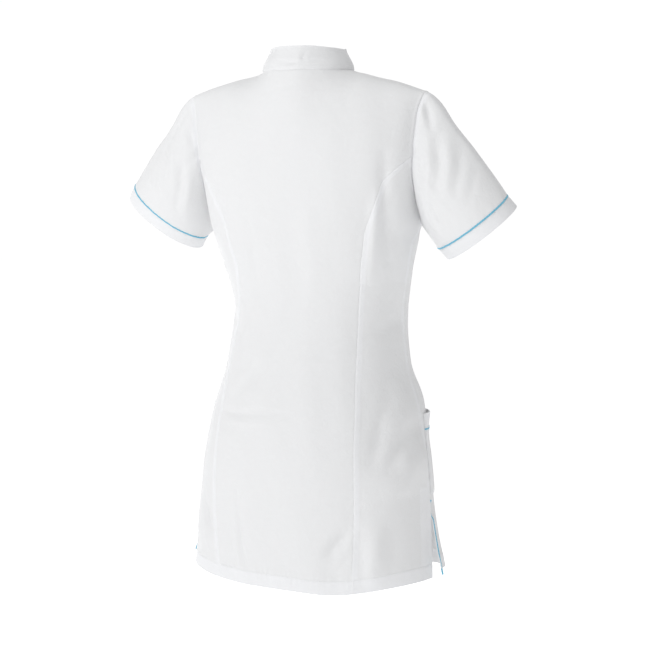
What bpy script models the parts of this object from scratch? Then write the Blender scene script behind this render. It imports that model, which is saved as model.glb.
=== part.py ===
"""Short-sleeved medical tunic with a stand collar, in its worn, hollow form.

Metres, +Z up. The back faces +Y, the wearer's left is +X, and the origin is between the shoulders, at the
base of the neck. Every cloth panel is a grid of points on the worn form, thickened to a wall. Neighbours
share the points of their seam, and each one is drawn back from it by half a seam gap.
"""

import math
from collections import namedtuple

import bmesh
import bpy
import numpy as np

WALL = 0.0014
SEAM_GAP = 0.0003
SHARPEST_FOLD = 0.2
LEAST_MITRE = 0.55
WELD = 2e-5
SMOOTH_ANGLE = 40.0
LEAST_LENGTH = 1e-9
KEY_STEPS = 1e5
LAYER = WALL + SEAM_GAP
PIPING_RADIUS = 0.00125
PIPING_CLEARANCE = 0.0009

# Heights of the main levels
UNDERARM_Z = -0.218
VENT_TOP_Z = -0.612
HEM_BACK_CENTRE_Z = -0.7345
HEM_BACK_SIDE_Z = -0.7190
HEM_FRONT_CENTRE_Z = -0.716
HEM_FRONT_SIDE_Z = -0.7050
HEM_TILT = 0.010

# Neckline and shoulder
NECK_HALF_WIDTH = 0.0670
NECK_Y = 0.001
NECK_BACK = 0.062
NECK_FRONT = 0.072
NECK_Z = -0.002
NECK_BACK_ROUND = 2.0
NECK_BACK_CROWN = 0.040
NECK_FRONT_ROUND = 1.6
NECK_FRONT_CROWN = 0.005
SHOULDER_TIP_X = 0.186
SHOULDER_TIP_Y = 0.004
SHOULDER_TIP_Z = -0.036
SHOULDER_RISE = 0.0015
LEFT_SHOULDER_RISE = 0.0035
SHOULDER_ROUNDNESS = 3.0
RELAX_ROUNDS = 4
RELAX_WIDTH = 0.020
RELAX_LEVEL = 0.60
UNDERARM_ROUNDS = 14
UNDERARM_ROWS_BELOW = 1
UNDERARM_ROWS_ABOVE = 4
UNDERARM_FADE_TURN = 35.0

COLLAR_HEIGHT = 0.035
COLLAR_SIDE_HEIGHT = 0.0295
COLLAR_LEAN = 0.815
COLLAR_END_X = 0.004
COLLAR_END_SHARE = 0.62
COLLAR_ROWS = (0.0, 0.12, 0.5, 0.88, 1.0)

# The fronts lap over each other, the wearer's right one on top
LAP = 0.015
UNDERLAP_START = 0.041
UNDERLAP_FULL = 0.019
UNDERLAP_DEPTH = 0.0023

BUST_X = 0.084
BUST_Z = -0.262
BUST_RISE = 0.012
BUST_WIDTH = 0.046
BUST_HEIGHT = 0.055

VENT_FLARE = 0.014
VENT_FLARE_POWER = 1.5
VENT_FLARE_TURN = 60.0
VENT_PIPING_INSET = 0.0016
VENT_PIPING_TAIL = 0.009

POCKET_TOP_Z = -0.491
POCKET_BOTTOM_Z = -0.604
POCKET_BAND = 0.022
POCKET_CLEARANCE = 0.0005
POCKET_ROW_SPACE = 0.004

SLEEVE_BAND = 0.020

WHITE = (0.86, 0.87, 0.885)
BLUE = (0.115, 0.43, 0.60)
CLOTH_ROUGHNESS = 0.8

# Half-width, depth behind and before the side line, place of that line, and roundness behind and before
Section = namedtuple("Section", "z half_width back front side_y back_round front_round")
SECTIONS = (
    Section(-0.218, 0.1625, 0.108, 0.084, -0.036, 3.0, 1.60),
    Section(-0.240, 0.1550, 0.095, 0.095, -0.027, 2.6, 1.75),
    Section(-0.265, 0.1485, 0.090, 0.102, -0.024, 2.4, 1.85),
    Section(-0.300, 0.1380, 0.093, 0.099, -0.029, 2.3, 1.95),
    Section(-0.355, 0.1295, 0.106, 0.091, -0.037, 2.3, 2.00),
    Section(-0.420, 0.1360, 0.123, 0.087, -0.040, 2.3, 1.95),
    Section(-0.490, 0.1570, 0.136, 0.087, -0.039, 2.3, 1.95),
    Section(-0.560, 0.1710, 0.133, 0.092, -0.031, 2.3, 2.05),
    Section(-0.620, 0.1775, 0.128, 0.091, -0.027, 2.3, 2.15),
    Section(-0.740, 0.1885, 0.106, 0.097, -0.013, 2.2, 2.40),
)

# Distance of the princess seams from the middle, below the underarm. The worn back is turned a little.
Seam = namedtuple("Seam", "z back_right back_left front")
SEAMS = (
    Seam(-0.218, 0.1160, 0.0970, 0.100),
    Seam(-0.240, 0.1105, 0.0920, 0.095),
    Seam(-0.265, 0.1055, 0.0900, 0.090),
    Seam(-0.300, 0.0995, 0.0920, 0.083),
    Seam(-0.355, 0.0955, 0.0960, 0.074),
    Seam(-0.420, 0.0980, 0.1010, 0.074),
    Seam(-0.490, 0.1040, 0.1060, 0.078),
    Seam(-0.560, 0.1080, 0.1100, 0.083),
    Seam(-0.620, 0.1090, 0.1100, 0.087),
    Seam(-0.740, 0.1050, 0.1020, 0.092),
)

# From the underarm (level 0) to the shoulder (level 1): the armhole's edge and the sections behind it
Chest = namedtuple("Chest", "level edge_x back_turn front_turn back front side_y back_round front_round")
CHEST = (
    Chest(0.00, 0.1625, 0.0, 0.0, 0.1080, 0.0840, -0.0360, 3.0, 1.60),
    Chest(0.02, 0.1645, 1.2, 8.4, 0.1077, 0.0845, -0.0353, 3.0, 1.63),
    Chest(0.06, 0.1662, 2.6, 14.0, 0.1073, 0.0852, -0.0340, 2.9, 1.70),
    Chest(0.12, 0.1667, 4.8, 19.2, 0.1060, 0.0865, -0.0315, 2.8, 1.80),
    Chest(0.26, 0.1672, 11.6, 24.4, 0.1017, 0.0885, -0.0245, 2.6, 1.95),
    Chest(0.40, 0.1682, 16.2, 25.4, 0.0977, 0.0890, -0.0180, 2.5, 2.00),
    Chest(0.53, 0.1706, 18.0, 25.6, 0.0945, 0.0885, -0.0130, 2.4, 2.05),
    Chest(0.72, 0.1745, 18.0, 23.6, 0.0900, 0.0865, -0.0070, 2.2, 2.10),
    Chest(0.89, 0.1790, 16.5, 19.0, 0.0863, 0.0845, -0.0025, 2.1, 2.10),
    Chest(1.00, 0.1860, 16.0, 16.0, 0.0840, 0.0840, 0.0000, 2.1, 2.10),
)

# The same above the underarm, by level, to where the seams meet the armhole
SeamTop = namedtuple("SeamTop", "level back_right back_left front")
SEAM_TOPS = (
    SeamTop(0.00, 0.1160, 0.0970, 0.1000),
    SeamTop(0.12, 0.1230, 0.1140, 0.1110),
    SeamTop(0.28, 0.1375, 0.1375, 0.1290),
    SeamTop(0.42, 0.1570, 0.1580, 0.1510),
    SeamTop(0.51, 0.1700, 0.1700, 0.1700),
)
SEAM_TOP_LEVEL = SEAM_TOPS[-1].level
USUAL_SEAM_TURN = 45.0

# Rows of every panel: shares of the way down to the vent and on to the hem, and levels above the underarm
ROWS_TO_VENT = 13
ROWS_TO_HEM = 4
CHEST_LEVELS = (0.02, 0.06, 0.12, 0.20, 0.28, 0.36, 0.44, 0.51, 0.60, 0.69, 0.77, 0.84, 0.90, 0.95, 0.985, 1.0)
NECK_COLUMNS = 5
SHOULDER_COLUMNS = 5
SIDE_COLUMNS = 5

# Columns of a pocket, by their share of the panel from the side seam to the front seam: how far the lip of
# its mouth and its pouch stand off
PocketColumn = namedtuple("PocketColumn", "across lip pouch")
POCKET_COLUMNS = (
    PocketColumn(0.035, 0.0000, 0.0000),
    PocketColumn(0.100, 0.0040, 0.0000),
    PocketColumn(0.200, 0.0055, 0.0000),
    PocketColumn(0.300, 0.0055, 0.0012),
    PocketColumn(0.400, 0.0035, 0.0046),
    PocketColumn(0.600, 0.0015, 0.0108),
    PocketColumn(0.800, 0.0006, 0.0098),
    PocketColumn(0.900, 0.0000, 0.0050),
    PocketColumn(0.965, 0.0000, 0.0000),
)
POCKET_LIP_DEPTH = 0.26

# The sleeves, as if both were on the left: the cuff's middle, the way out to its outer edge, the way the arm
# points, and half the cuff's height and depth
Cuff = namedtuple("Cuff", "side centre out arm half_height half_depth")
CUFFS = (
    Cuff("left", (0.2555, -0.024, -0.216), (0.800, 0.150, 0.570), (0.597, -0.298, -0.745), 0.0675, 0.0315),
    Cuff("right", (0.2570, -0.024, -0.231), (0.840, 0.150, 0.510), (0.560, -0.370, -0.740), 0.0635, 0.0450),
)
SLEEVE_ROWS = 8
SLEEVE_FULLNESS_TOP = 0.0035
SLEEVE_FULLNESS_BACK = 0.011
SLEEVE_SEAM_INSET = 0.0006
CAP_PUFF = 0.0040
CAP_PUFF_AT = 0.13

# The largest folds of the torso. Ends are given by x and z, and depth is negative for a trough.
FOLD_END_SHARE = 0.35
Fold = namedtuple("Fold", "face x_top z_top x_foot z_foot depth width")
FOLDS = (
    Fold("back", -0.120, -0.450, -0.132, -0.560, -0.0045, 0.013),
    Fold("back", -0.160, -0.520, -0.148, -0.600, 0.0035, 0.013),
    Fold("back", -0.150, -0.500, -0.143, -0.560, -0.0035, 0.010),
    Fold("back", -0.127, -0.650, -0.122, -0.725, 0.0045, 0.014),
    Fold("back", -0.098, -0.660, -0.075, -0.710, -0.0030, 0.014),
    Fold("back", 0.010, -0.400, 0.092, -0.470, -0.0030, 0.018),
    Fold("back", 0.110, -0.485, 0.050, -0.500, -0.0025, 0.010),
    Fold("back", 0.150, -0.640, 0.140, -0.700, 0.0035, 0.014),
    Fold("back", 0.088, -0.610, 0.080, -0.730, -0.0025, 0.014),
    Fold("back", -0.140, -0.170, -0.130, -0.300, 0.0030, 0.012),
    Fold("front", 0.125, -0.440, 0.118, -0.560, -0.0035, 0.015),
    Fold("front", 0.060, -0.560, 0.052, -0.700, 0.0040, 0.018),
    Fold("front", -0.055, -0.520, -0.068, -0.700, -0.0040, 0.018),
    Fold("front", -0.020, -0.330, -0.075, -0.400, -0.0030, 0.016),
    Fold("front", 0.020, -0.345, 0.070, -0.385, -0.0025, 0.014),
)


def smooth(rows, column, at):
    """The named column of a table at a value of its first column, on a smooth curve through its rows."""
    keys = [row[0] for row in rows]
    values = [getattr(row, column) for row in rows]
    if keys[0] > keys[-1]:
        keys.reverse()
        values.reverse()
    at = min(max(at, keys[0]), keys[-1])
    slopes = np.gradient(values, keys)
    upper = min(max(int(np.searchsorted(keys, at)), 1), len(keys) - 1)
    step = keys[upper] - keys[upper - 1]
    share = (at - keys[upper - 1]) / step
    rise = share * share * (3 - 2 * share)
    leave = share * (1 - share) ** 2 * step
    arrive = share * share * (share - 1) * step
    return (
        values[upper - 1] * (1 - rise)
        + values[upper] * rise
        + slopes[upper - 1] * leave
        + slopes[upper] * arrive
    )


def ease(share):
    """A smooth step from 0 to 1."""
    share = min(max(share, 0.0), 1.0)
    return share * share * (3 - 2 * share)


def width_share(turn, roundness):
    """Share of the half-width at a turn from the side (0) to the centre (90 degrees) and past it."""
    cosine = math.cos(math.radians(turn))
    return math.copysign(abs(cosine) ** (2 / roundness), cosine)


def depth_share(turn, roundness):
    return max(0.0, math.sin(math.radians(turn))) ** (2 / roundness)


def turn_at(share, roundness):
    return math.degrees(math.acos(min(max(share, 0.0), 1.0) ** (roundness / 2)))


def hem_height(face, turn):
    rise = math.sin(math.radians(turn)) ** 2
    if face == "back":
        return HEM_BACK_SIDE_Z + (HEM_BACK_CENTRE_Z - HEM_BACK_SIDE_Z) * rise
    return HEM_FRONT_SIDE_Z + (HEM_FRONT_CENTRE_Z - HEM_FRONT_SIDE_Z) * rise


def neck_arch(face, x):
    """Share of the neckline's depth that is reached at x."""
    roundness = NECK_BACK_ROUND if face == "back" else NECK_FRONT_ROUND
    return max(0.0, 1 - (x / NECK_HALF_WIDTH) ** roundness) ** (1 / roundness)


def shoulder_y(x):
    """y of the shoulder seam, carried on level across the neck."""
    along = max(0.0, (abs(x) - NECK_HALF_WIDTH) / (SHOULDER_TIP_X - NECK_HALF_WIDTH))
    return NECK_Y + (SHOULDER_TIP_Y - NECK_Y) * along


def ridge_and_edge(face, x):
    """Heights of the dome's ridge and of the panel's upper edge, the shoulder seam or the neckline, at x.

    Inside the neck the ridge runs on from the shoulders without a bend, and the neckline cuts the dome lower.
    """
    x = abs(x)
    seam_run = SHOULDER_TIP_X - NECK_HALF_WIDTH
    if x >= NECK_HALF_WIDTH:
        along = (x - NECK_HALF_WIDTH) / seam_run
        shoulder = NECK_Z + (SHOULDER_TIP_Z - NECK_Z) * along + SHOULDER_RISE * math.sin(math.pi * along)
        return shoulder, shoulder
    slope = (NECK_Z - SHOULDER_TIP_Z - math.pi * SHOULDER_RISE) / seam_run
    run_on = slope * NECK_HALF_WIDTH / 2
    inside = 1 - (x / NECK_HALF_WIDTH) ** 2
    crown = NECK_BACK_CROWN if face == "back" else NECK_FRONT_CROWN
    ridge = NECK_Z + run_on * inside + (crown - run_on) * inside**2
    top = CHEST[-1]
    full_width = top.edge_x / width_share(top.back_turn, top.back_round)
    sheet = getattr(top, face) * depth_share(turn_at(x / full_width, top.back_round), top.back_round)
    depth, sheet = (NECK_BACK, sheet - NECK_Y) if face == "back" else (NECK_FRONT, sheet + NECK_Y)
    cut = depth * neck_arch(face, x) / sheet
    climb = (1 - cut**SHOULDER_ROUNDNESS) ** (1 / SHOULDER_ROUNDNESS)
    return ridge, UNDERARM_Z + (ridge - UNDERARM_Z) * climb


def lower_point(face, turn, drop):
    """A point below the underarm. drop runs from 0 there to 1 at the vent's top and 2 at the hem."""
    if drop <= 1:
        z = UNDERARM_Z + (VENT_TOP_Z - UNDERARM_Z) * drop
    else:
        z = VENT_TOP_Z + (hem_height(face, turn) - VENT_TOP_Z) * (drop - 1)
    roundness = smooth(SECTIONS, face + "_round", z)
    half_width = smooth(SECTIONS, "half_width", z)
    side_y = smooth(SECTIONS, "side_y", z)
    depth = smooth(SECTIONS, face, z)
    x = half_width * width_share(turn, roundness)
    reach = depth * depth_share(turn, roundness)
    if face == "back":
        return np.array((x, side_y + reach, z))
    flare = VENT_FLARE * max(0.0, drop - 1) ** VENT_FLARE_POWER * ease(1 - turn / VENT_FLARE_TURN)
    return np.array((x + flare, side_y - reach, z))


def upper_point(face, turn, level):
    """A point above the underarm, on a dome that rounds over to its ridge along the shoulders."""
    roundness = smooth(CHEST, face + "_round", level)
    edge_turn = smooth(CHEST, face + "_turn", level)
    x = smooth(CHEST, "edge_x", level) * width_share(turn, roundness) / width_share(edge_turn, roundness)
    top = CHEST[-1]
    top_turn = 90 - (90 - turn) * (90 - top.back_turn) / (90 - edge_turn)
    top_x = top.edge_x * width_share(top_turn, top.back_round) / width_share(top.back_turn, top.back_round)
    ridge_y = shoulder_y(top_x)
    ridge_z, edge_z = ridge_and_edge(face, top_x)
    z = UNDERARM_Z + (edge_z - UNDERARM_Z) * level
    climb = (z - UNDERARM_Z) / (ridge_z - UNDERARM_Z)
    outward = 1 if face == "back" else -1
    reach = outward * smooth(CHEST, face, level) * depth_share(turn, roundness)
    sheet_y = smooth(CHEST, "side_y", level) + reach
    rounding = max(0.0, 1 - climb**SHOULDER_ROUNDNESS) ** (1 / SHOULDER_ROUNDNESS)
    return np.array((x, ridge_y + (sheet_y - ridge_y) * rounding, z))


def row_point(face, turn, row):
    """row is negative below the underarm and a chest level above it."""
    return lower_point(face, turn, -row) if row <= 0 else upper_point(face, turn, row)


def all_rows():
    lower = [-1 - (k / ROWS_TO_HEM) for k in range(ROWS_TO_HEM, 0, -1)]
    middle = [-k / ROWS_TO_VENT for k in range(ROWS_TO_VENT, 0, -1)]
    return lower + middle + [0.0] + list(CHEST_LEVELS)


def row_edge_turn(face, row):
    return 0.0 if row <= 0 else smooth(CHEST, face + "_turn", row)


def row_seam_turn(face, side, row):
    """Turn of the princess seam in a row. Past the seam's top it is the armhole's edge."""
    seam = "front" if face == "front" else f"back_{side}"
    if row >= SEAM_TOP_LEVEL:
        return row_edge_turn(face, row)
    if row > 0:
        roundness = smooth(CHEST, face + "_round", row)
        edge_share = width_share(row_edge_turn(face, row), roundness)
        full_width = smooth(CHEST, "edge_x", row) / edge_share
        return turn_at(smooth(SEAM_TOPS, seam, row) / full_width, roundness)
    z = lower_point(face, USUAL_SEAM_TURN, -row)[2]
    roundness = smooth(SECTIONS, face + "_round", z)
    return turn_at(smooth(SEAMS, seam, z) / smooth(SECTIONS, "half_width", z), roundness)


def centre_shares():
    """Column shares from the centre line (0) to the armhole (1), with one column at the neck point."""
    roundness = CHEST[-1].back_round
    edge_turn = CHEST[-1].back_turn
    full_width = SHOULDER_TIP_X / width_share(edge_turn, roundness)
    shares = []
    for k in range(NECK_COLUMNS + 1):
        x = NECK_HALF_WIDTH * math.sin(math.radians(90 * k / NECK_COLUMNS))
        shares.append((90 - turn_at(x / full_width, roundness)) / (90 - edge_turn))
    neck_share = shares[-1]
    for k in range(1, SHOULDER_COLUMNS + 1):
        shares.append(neck_share + (1 - neck_share) * k / SHOULDER_COLUMNS)
    return shares


def relaxed(grid):
    """Evens out the surface near the neck points, where the shoulders pass into the neck."""
    levels = np.array(all_rows())[1:-1, None]
    result = grid.copy()
    for _ in range(RELAX_ROUNDS):
        inner = result[1:-1, 1:-1]
        mean = (result[:-2, 1:-1] + result[2:, 1:-1] + result[1:-1, :-2] + result[1:-1, 2:]) / 4
        from_neck = (inner[..., 0] - NECK_HALF_WIDTH) / RELAX_WIDTH
        share = np.exp(-(from_neck**2)) * np.sqrt(np.clip((levels - RELAX_LEVEL) / (1 - RELAX_LEVEL), 0, 1))
        result[1:-1, 1:-1] += (mean - inner) * share[..., None]
    return result


def eased_at_underarm(grid, turns):
    """Evens out the bend between the rows below and above the underarm, away from the side seam."""
    weights = np.array([ease(turn / UNDERARM_FADE_TURN) for turn in turns])[:, None]
    result = grid.copy()
    underarm_row = all_rows().index(0.0)
    for _ in range(UNDERARM_ROUNDS):
        for row in range(underarm_row - UNDERARM_ROWS_BELOW, underarm_row + UNDERARM_ROWS_ABOVE + 1):
            below, own, above = result[row - 1], result[row], result[row + 1]
            share = ((own[:, 2] - below[:, 2]) / (above[:, 2] - below[:, 2]))[:, None]
            straight = below[:, :2] * (1 - share) + above[:, :2] * share
            result[row, :, :2] += (straight - own[:, :2]) * weights
    return result


def centre_grid(face, side):
    """Half of a centre panel, from its outer edge to the centre line, as if on the left."""
    grid = []
    for row in all_rows():
        seam_turn = row_seam_turn(face, side, row)
        turns = [90 - (90 - seam_turn) * share for share in reversed(centre_shares())]
        grid.append([row_point(face, turn, row) for turn in turns])
    seam_turn = row_seam_turn(face, side, 0.0)
    turns = [90 - (90 - seam_turn) * share for share in reversed(centre_shares())]
    return eased_at_underarm(relaxed(np.array(grid)), turns)


def with_lap(half):
    """A front that runs past the centre line by the lap, on the same surface as the other front."""
    share = LAP / half[:, -2:-1, :1]
    beyond = half[:, -1:] + (half[:, -2:-1] - half[:, -1:]) * share
    return np.concatenate([half, beyond * np.array((-1.0, 1.0, 1.0))], axis=1)


def side_grid(face, side):
    """A side panel from its princess seam to the side seam and armhole, as if on the left."""
    grid = []
    for row in all_rows():
        if row > SEAM_TOP_LEVEL:
            break
        seam_turn = row_seam_turn(face, side, row)
        edge_turn = row_edge_turn(face, row)
        turns = [seam_turn + (edge_turn - seam_turn) * k / SIDE_COLUMNS for k in range(SIDE_COLUMNS + 1)]
        grid.append([row_point(face, turn, row) for turn in turns])
    seam_turn = row_seam_turn(face, side, 0.0)
    turns = [seam_turn * (1 - k / SIDE_COLUMNS) for k in range(SIDE_COLUMNS + 1)]
    return eased_at_underarm(np.array(grid), turns)


def mirrored(grid):
    """The grid on the wearer's other side, with its columns turned round so that it still faces out."""
    return grid[:, ::-1] * np.array((-1.0, 1.0, 1.0))


def shape_bust(grid):
    """Raises the fullness over the bust, which the front princess seams cross."""
    shaped = grid.copy()
    across = (np.abs(grid[..., 0]) - BUST_X) / BUST_WIDTH
    along = (grid[..., 2] - BUST_Z) / BUST_HEIGHT
    shaped[..., 1] -= BUST_RISE * np.exp(-(across**2) - along**2)
    return shaped


def grid_normals(grid, closed=False):
    """Outward unit normals of a grid whose rows go up and whose columns run anticlockwise from above."""
    up = np.gradient(grid, axis=0)
    if closed:
        across = np.roll(grid, -1, axis=1) - np.roll(grid, 1, axis=1)
    else:
        across = np.gradient(grid, axis=1)
    normals = np.cross(across, up)
    lengths = np.linalg.norm(normals, axis=2, keepdims=True)
    thin = lengths[..., 0] < LEAST_LENGTH
    normals = normals / np.maximum(lengths, LEAST_LENGTH)
    for row, column in zip(*np.nonzero(thin)):
        normals[row, column] = normals[row - 1, column]
    return normals


def fold_height(face, x, z):
    """How far the folds lift the cloth at a place on the back or front."""
    height = 0.0
    for fold in FOLDS:
        if fold.face != face:
            continue
        along = np.array((fold.x_foot - fold.x_top, fold.z_foot - fold.z_top))
        offset = np.array((x - fold.x_top, z - fold.z_top))
        share = float(offset @ along / (along @ along))
        inside = min(max(share, 0.0), 1.0)
        distance = float(np.linalg.norm(offset - along * inside))
        fade = FOLD_END_SHARE + (1 - FOLD_END_SHARE) * math.sin(math.pi * inside)
        height += fold.depth * fade * math.exp(-((distance / fold.width) ** 2))
    return height


def folded(face, grid):
    normals = grid_normals(grid)
    result = grid.copy()
    for row in range(grid.shape[0]):
        for column in range(grid.shape[1]):
            x, _, z = grid[row, column]
            result[row, column] += normals[row, column] * fold_height(face, x, z)
    return result


def lapped_under(grid):
    """The under front, drawn in by one layer where the other front lies over it."""
    share = np.clip((UNDERLAP_START - grid[..., 0]) / (UNDERLAP_START - UNDERLAP_FULL), 0.0, 1.0)
    depth = UNDERLAP_DEPTH * share * share * (3 - 2 * share)
    return grid - grid_normals(grid) * depth[..., None]


def settled(grid):
    """The grid as it hangs: the wearer's left shoulder a little up, and the hem a little down to the right."""
    result = grid.copy()
    for row in range(grid.shape[0]):
        for column in range(grid.shape[1]):
            x, _, z = grid[row, column]
            outward = ease((x - NECK_HALF_WIDTH) / (SHOULDER_TIP_X - NECK_HALF_WIDTH))
            up = ease((z - UNDERARM_Z) / (SHOULDER_TIP_Z - UNDERARM_Z))
            down = ease((VENT_TOP_Z - z) / (VENT_TOP_Z - HEM_BACK_SIDE_Z))
            result[row, column, 2] += LEFT_SHOULDER_RISE * outward * up + HEM_TILT * x * down
    return result


def torso_grids():
    """Every torso panel by name. Seams share their points, so folds are the same on both sides of one."""
    front_left = with_lap(centre_grid("front", "left"))[:, ::-1]
    front_side = side_grid("front", "left")
    plain = {
        "back_centre": np.concatenate(
            [centre_grid("back", "left"), mirrored(centre_grid("back", "right"))[:, 1:]], axis=1
        ),
        "back_side_left": side_grid("back", "left")[:, ::-1],
        "back_side_right": mirrored(side_grid("back", "right")[:, ::-1]),
        "front_centre_left": shape_bust(front_left),
        "front_centre_right": shape_bust(mirrored(front_left)),
        "front_side_left": shape_bust(front_side),
        "front_side_right": shape_bust(mirrored(front_side)),
    }
    grids = {name: settled(folded(name.split("_")[0], grid)) for name, grid in plain.items()}
    grids["front_centre_left"] = lapped_under(grids["front_centre_left"])
    return grids


def unit(vector):
    vector = np.asarray(vector, float)
    return vector / np.linalg.norm(vector)


def armhole_edge(torso, face, side):
    """Points of the armhole on one face, from the underarm up, drawn from the panels' own edges."""
    outer = -1 if (face == "back") == (side == "right") else 0
    centre = torso["back_centre"] if face == "back" else torso[f"front_centre_{side}"]
    side_panel = torso[f"{face}_side_{side}"]
    underarm_row = all_rows().index(0.0)
    low = side_panel[underarm_row:, outer]
    high = centre[side_panel.shape[0] :, outer]
    return np.concatenate([low, high])


def armhole_ring(torso, side):
    """The armhole from the underarm up the back to the shoulder, and the rest of it down the front."""
    back = armhole_edge(torso, "back", side)
    front = armhole_edge(torso, "front", side)[::-1][1:-1]
    if side == "right":
        flip = np.array((-1.0, 1.0, 1.0))
        return list(back * flip), list(front * flip)
    return list(back), list(front)


def arc_shares(points):
    steps = np.linalg.norm(np.diff(np.array(points), axis=0), axis=1)
    lengths = np.concatenate([[0.0], np.cumsum(steps)])
    return lengths / lengths[-1]


def cuff_axes(cuff):
    """The ways out and back from the middle of the cuff, at right angles to each other."""
    out = unit(cuff.out)
    return out, unit(np.cross(out, unit(cuff.arm)))


def cuff_ring(cuff, turns, rise):
    """Points round the cuff, raised along the arm by rise. A turn of 0 is its outer side and 90 its back."""
    out, back = cuff_axes(cuff)
    ring = []
    for turn in turns:
        angle = math.radians(turn)
        spoke = cuff.half_height * math.cos(angle) * out + cuff.half_depth * math.sin(angle) * back
        ring.append(np.array(cuff.centre) + spoke - unit(cuff.arm) * rise)
    return np.array(ring)


def sleeve_grids(cuff, torso):
    """The sleeve from armhole to piping and its band from piping to cuff, both as on the left side."""
    back, front = armhole_ring(torso, cuff.side)
    start = np.array(back + front)
    back_shares = arc_shares(back)
    front_shares = arc_shares([back[-1]] + front + [back[0]])[1:-1]
    turns = [180 - 180 * share for share in back_shares] + [-180 * share for share in front_shares]
    end = cuff_ring(cuff, turns, SLEEVE_BAND)
    cuff_end = cuff_ring(cuff, turns, 0.0)
    out, backward = cuff_axes(cuff)
    rows = []
    for k in range(SLEEVE_ROWS + 1):
        share = k / SLEEVE_ROWS
        ring = []
        for turn, first, last in zip(turns, start, end):
            angle = math.radians(turn)
            top = max(0.0, math.cos(angle))
            side = abs(math.sin(angle))
            fullness = SLEEVE_FULLNESS_TOP * top + SLEEVE_FULLNESS_BACK * side**2
            puff = CAP_PUFF * top**2 * math.exp(-(((share - CAP_PUFF_AT) / CAP_PUFF_AT) ** 2)) * (share > 0)
            spoke = out * math.cos(angle) + backward * math.sin(angle)
            ring.append(first + (last - first) * share + spoke * (4 * share * (1 - share) * fullness + puff))
        rows.append(ring)
    band = np.array([end, (end + cuff_end) / 2, cuff_end])
    return np.array(rows), band


def collar_grid(back_panel, front_left, front_right):
    """The stand collar, from the left front end round the back to the right one."""
    neck = NECK_COLUMNS
    middle = back_panel.shape[1] // 2
    back_edge = back_panel[-1, middle - neck : middle + neck + 1]
    left_edge = front_left[-1, 1 : neck + 2]
    right_edge = front_right[-1, -neck - 2 : -1]
    left_end = left_edge[0] + (left_edge[1] - left_edge[0]) * COLLAR_END_X / left_edge[1][0]
    right_end = right_edge[-1] + (right_edge[-2] - right_edge[-1]) * COLLAR_END_X / -right_edge[-2][0]
    base = [left_end, *left_edge[1:], *back_edge[1:-1], *right_edge[:-1], right_end]
    rows = []
    for share in COLLAR_ROWS:
        row = []
        for index, point in enumerate(base):
            frontness = max(0.0, (NECK_Y - point[1]) / NECK_FRONT)
            backness = max(0.0, (point[1] - NECK_Y) / NECK_BACK)
            height = COLLAR_SIDE_HEIGHT + (COLLAR_HEIGHT - COLLAR_SIDE_HEIGHT) * max(backness, frontness)
            if index in (0, len(base) - 1):
                height *= COLLAR_END_SHARE
            lean = 1 + (COLLAR_LEAN - 1) * ease(share)
            x = point[0] * lean
            y = NECK_Y + (point[1] - NECK_Y) * lean
            row.append((x, y, point[2] + height * share))
        rows.append(row)
    return np.array(rows)


def pocket_stand_off(column, z):
    """How far a column of the pocket stands off its panel at a height."""
    depth = (POCKET_TOP_Z - z) / (POCKET_TOP_Z - POCKET_BOTTOM_Z)
    return column.lip * (1 - ease(depth / POCKET_LIP_DEPTH)) + column.pouch * (1 - ease(depth))


def pocket_grid(side_panel, left, top_z, foot_z):
    """Part of a pocket between two heights, on the front side panel's points, moved out."""
    rows = side_panel[:, 0, 2]
    between = rows[(rows > foot_z + POCKET_ROW_SPACE) & (rows < top_z - POCKET_ROW_SPACE)]
    below = side_panel[:, 0, 2] < UNDERARM_Z
    panel = side_panel[below]
    normals = grid_normals(side_panel)[below]
    grid = []
    for z in [foot_z, *between, top_z]:
        row = []
        for column in reversed(POCKET_COLUMNS) if left else POCKET_COLUMNS:
            place = (1 - column.across if left else column.across) * (panel.shape[1] - 1)
            beside = min(int(place), panel.shape[1] - 2)
            weight = place - beside
            line = panel[:, beside] * (1 - weight) + panel[:, beside + 1] * weight
            normal_line = normals[:, beside] * (1 - weight) + normals[:, beside + 1] * weight
            point = np.array([np.interp(z, line[:, 2], line[:, axis]) for axis in range(3)])
            normal = unit([np.interp(z, line[:, 2], normal_line[:, axis]) for axis in range(3)])
            row.append(point + normal * (LAYER + POCKET_CLEARANCE + pocket_stand_off(column, z)))
        grid.append(row)
    return np.array(grid)


def new_material(name, colour, roughness):
    material = bpy.data.materials.new(name)
    material.use_nodes = True
    shader = material.node_tree.nodes["Principled BSDF"]
    shader.inputs["Base Color"].default_value = (*colour, 1.0)
    shader.inputs["Roughness"].default_value = roughness
    shader.inputs["Metallic"].default_value = 0.0
    return material


def rim_moves(grid, closed, start_inset):
    """Moves that draw the grid's edges back by half a seam gap, and its first row by start_inset."""
    moves = np.zeros_like(grid)
    inset = SEAM_GAP / 2
    moves[0] += start_inset * directions(grid[1] - grid[0])
    moves[-1] += inset * directions(grid[-2] - grid[-1])
    if not closed:
        moves[:, 0] += inset * directions(grid[:, 1] - grid[:, 0])
        moves[:, -1] += inset * directions(grid[:, -2] - grid[:, -1])
    return moves


def directions(vectors):
    lengths = np.linalg.norm(vectors, axis=-1, keepdims=True)
    return vectors / np.maximum(lengths, LEAST_LENGTH)


def key_of(point):
    return tuple(np.round(np.asarray(point) * KEY_STEPS).astype(int))


def shared_normals(panels):
    """Sum of the normals of all panels at each point that lies on an edge, for mitred seams."""
    totals = {}
    for grid, closed in panels:
        normals = grid_normals(grid, closed)
        seen = set()
        for row in range(grid.shape[0]):
            for column in range(grid.shape[1]):
                key = key_of(grid[row, column])
                if key in seen:
                    continue
                seen.add(key)
                totals[key] = totals.get(key, np.zeros(3)) + normals[row, column]
    return totals


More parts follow.
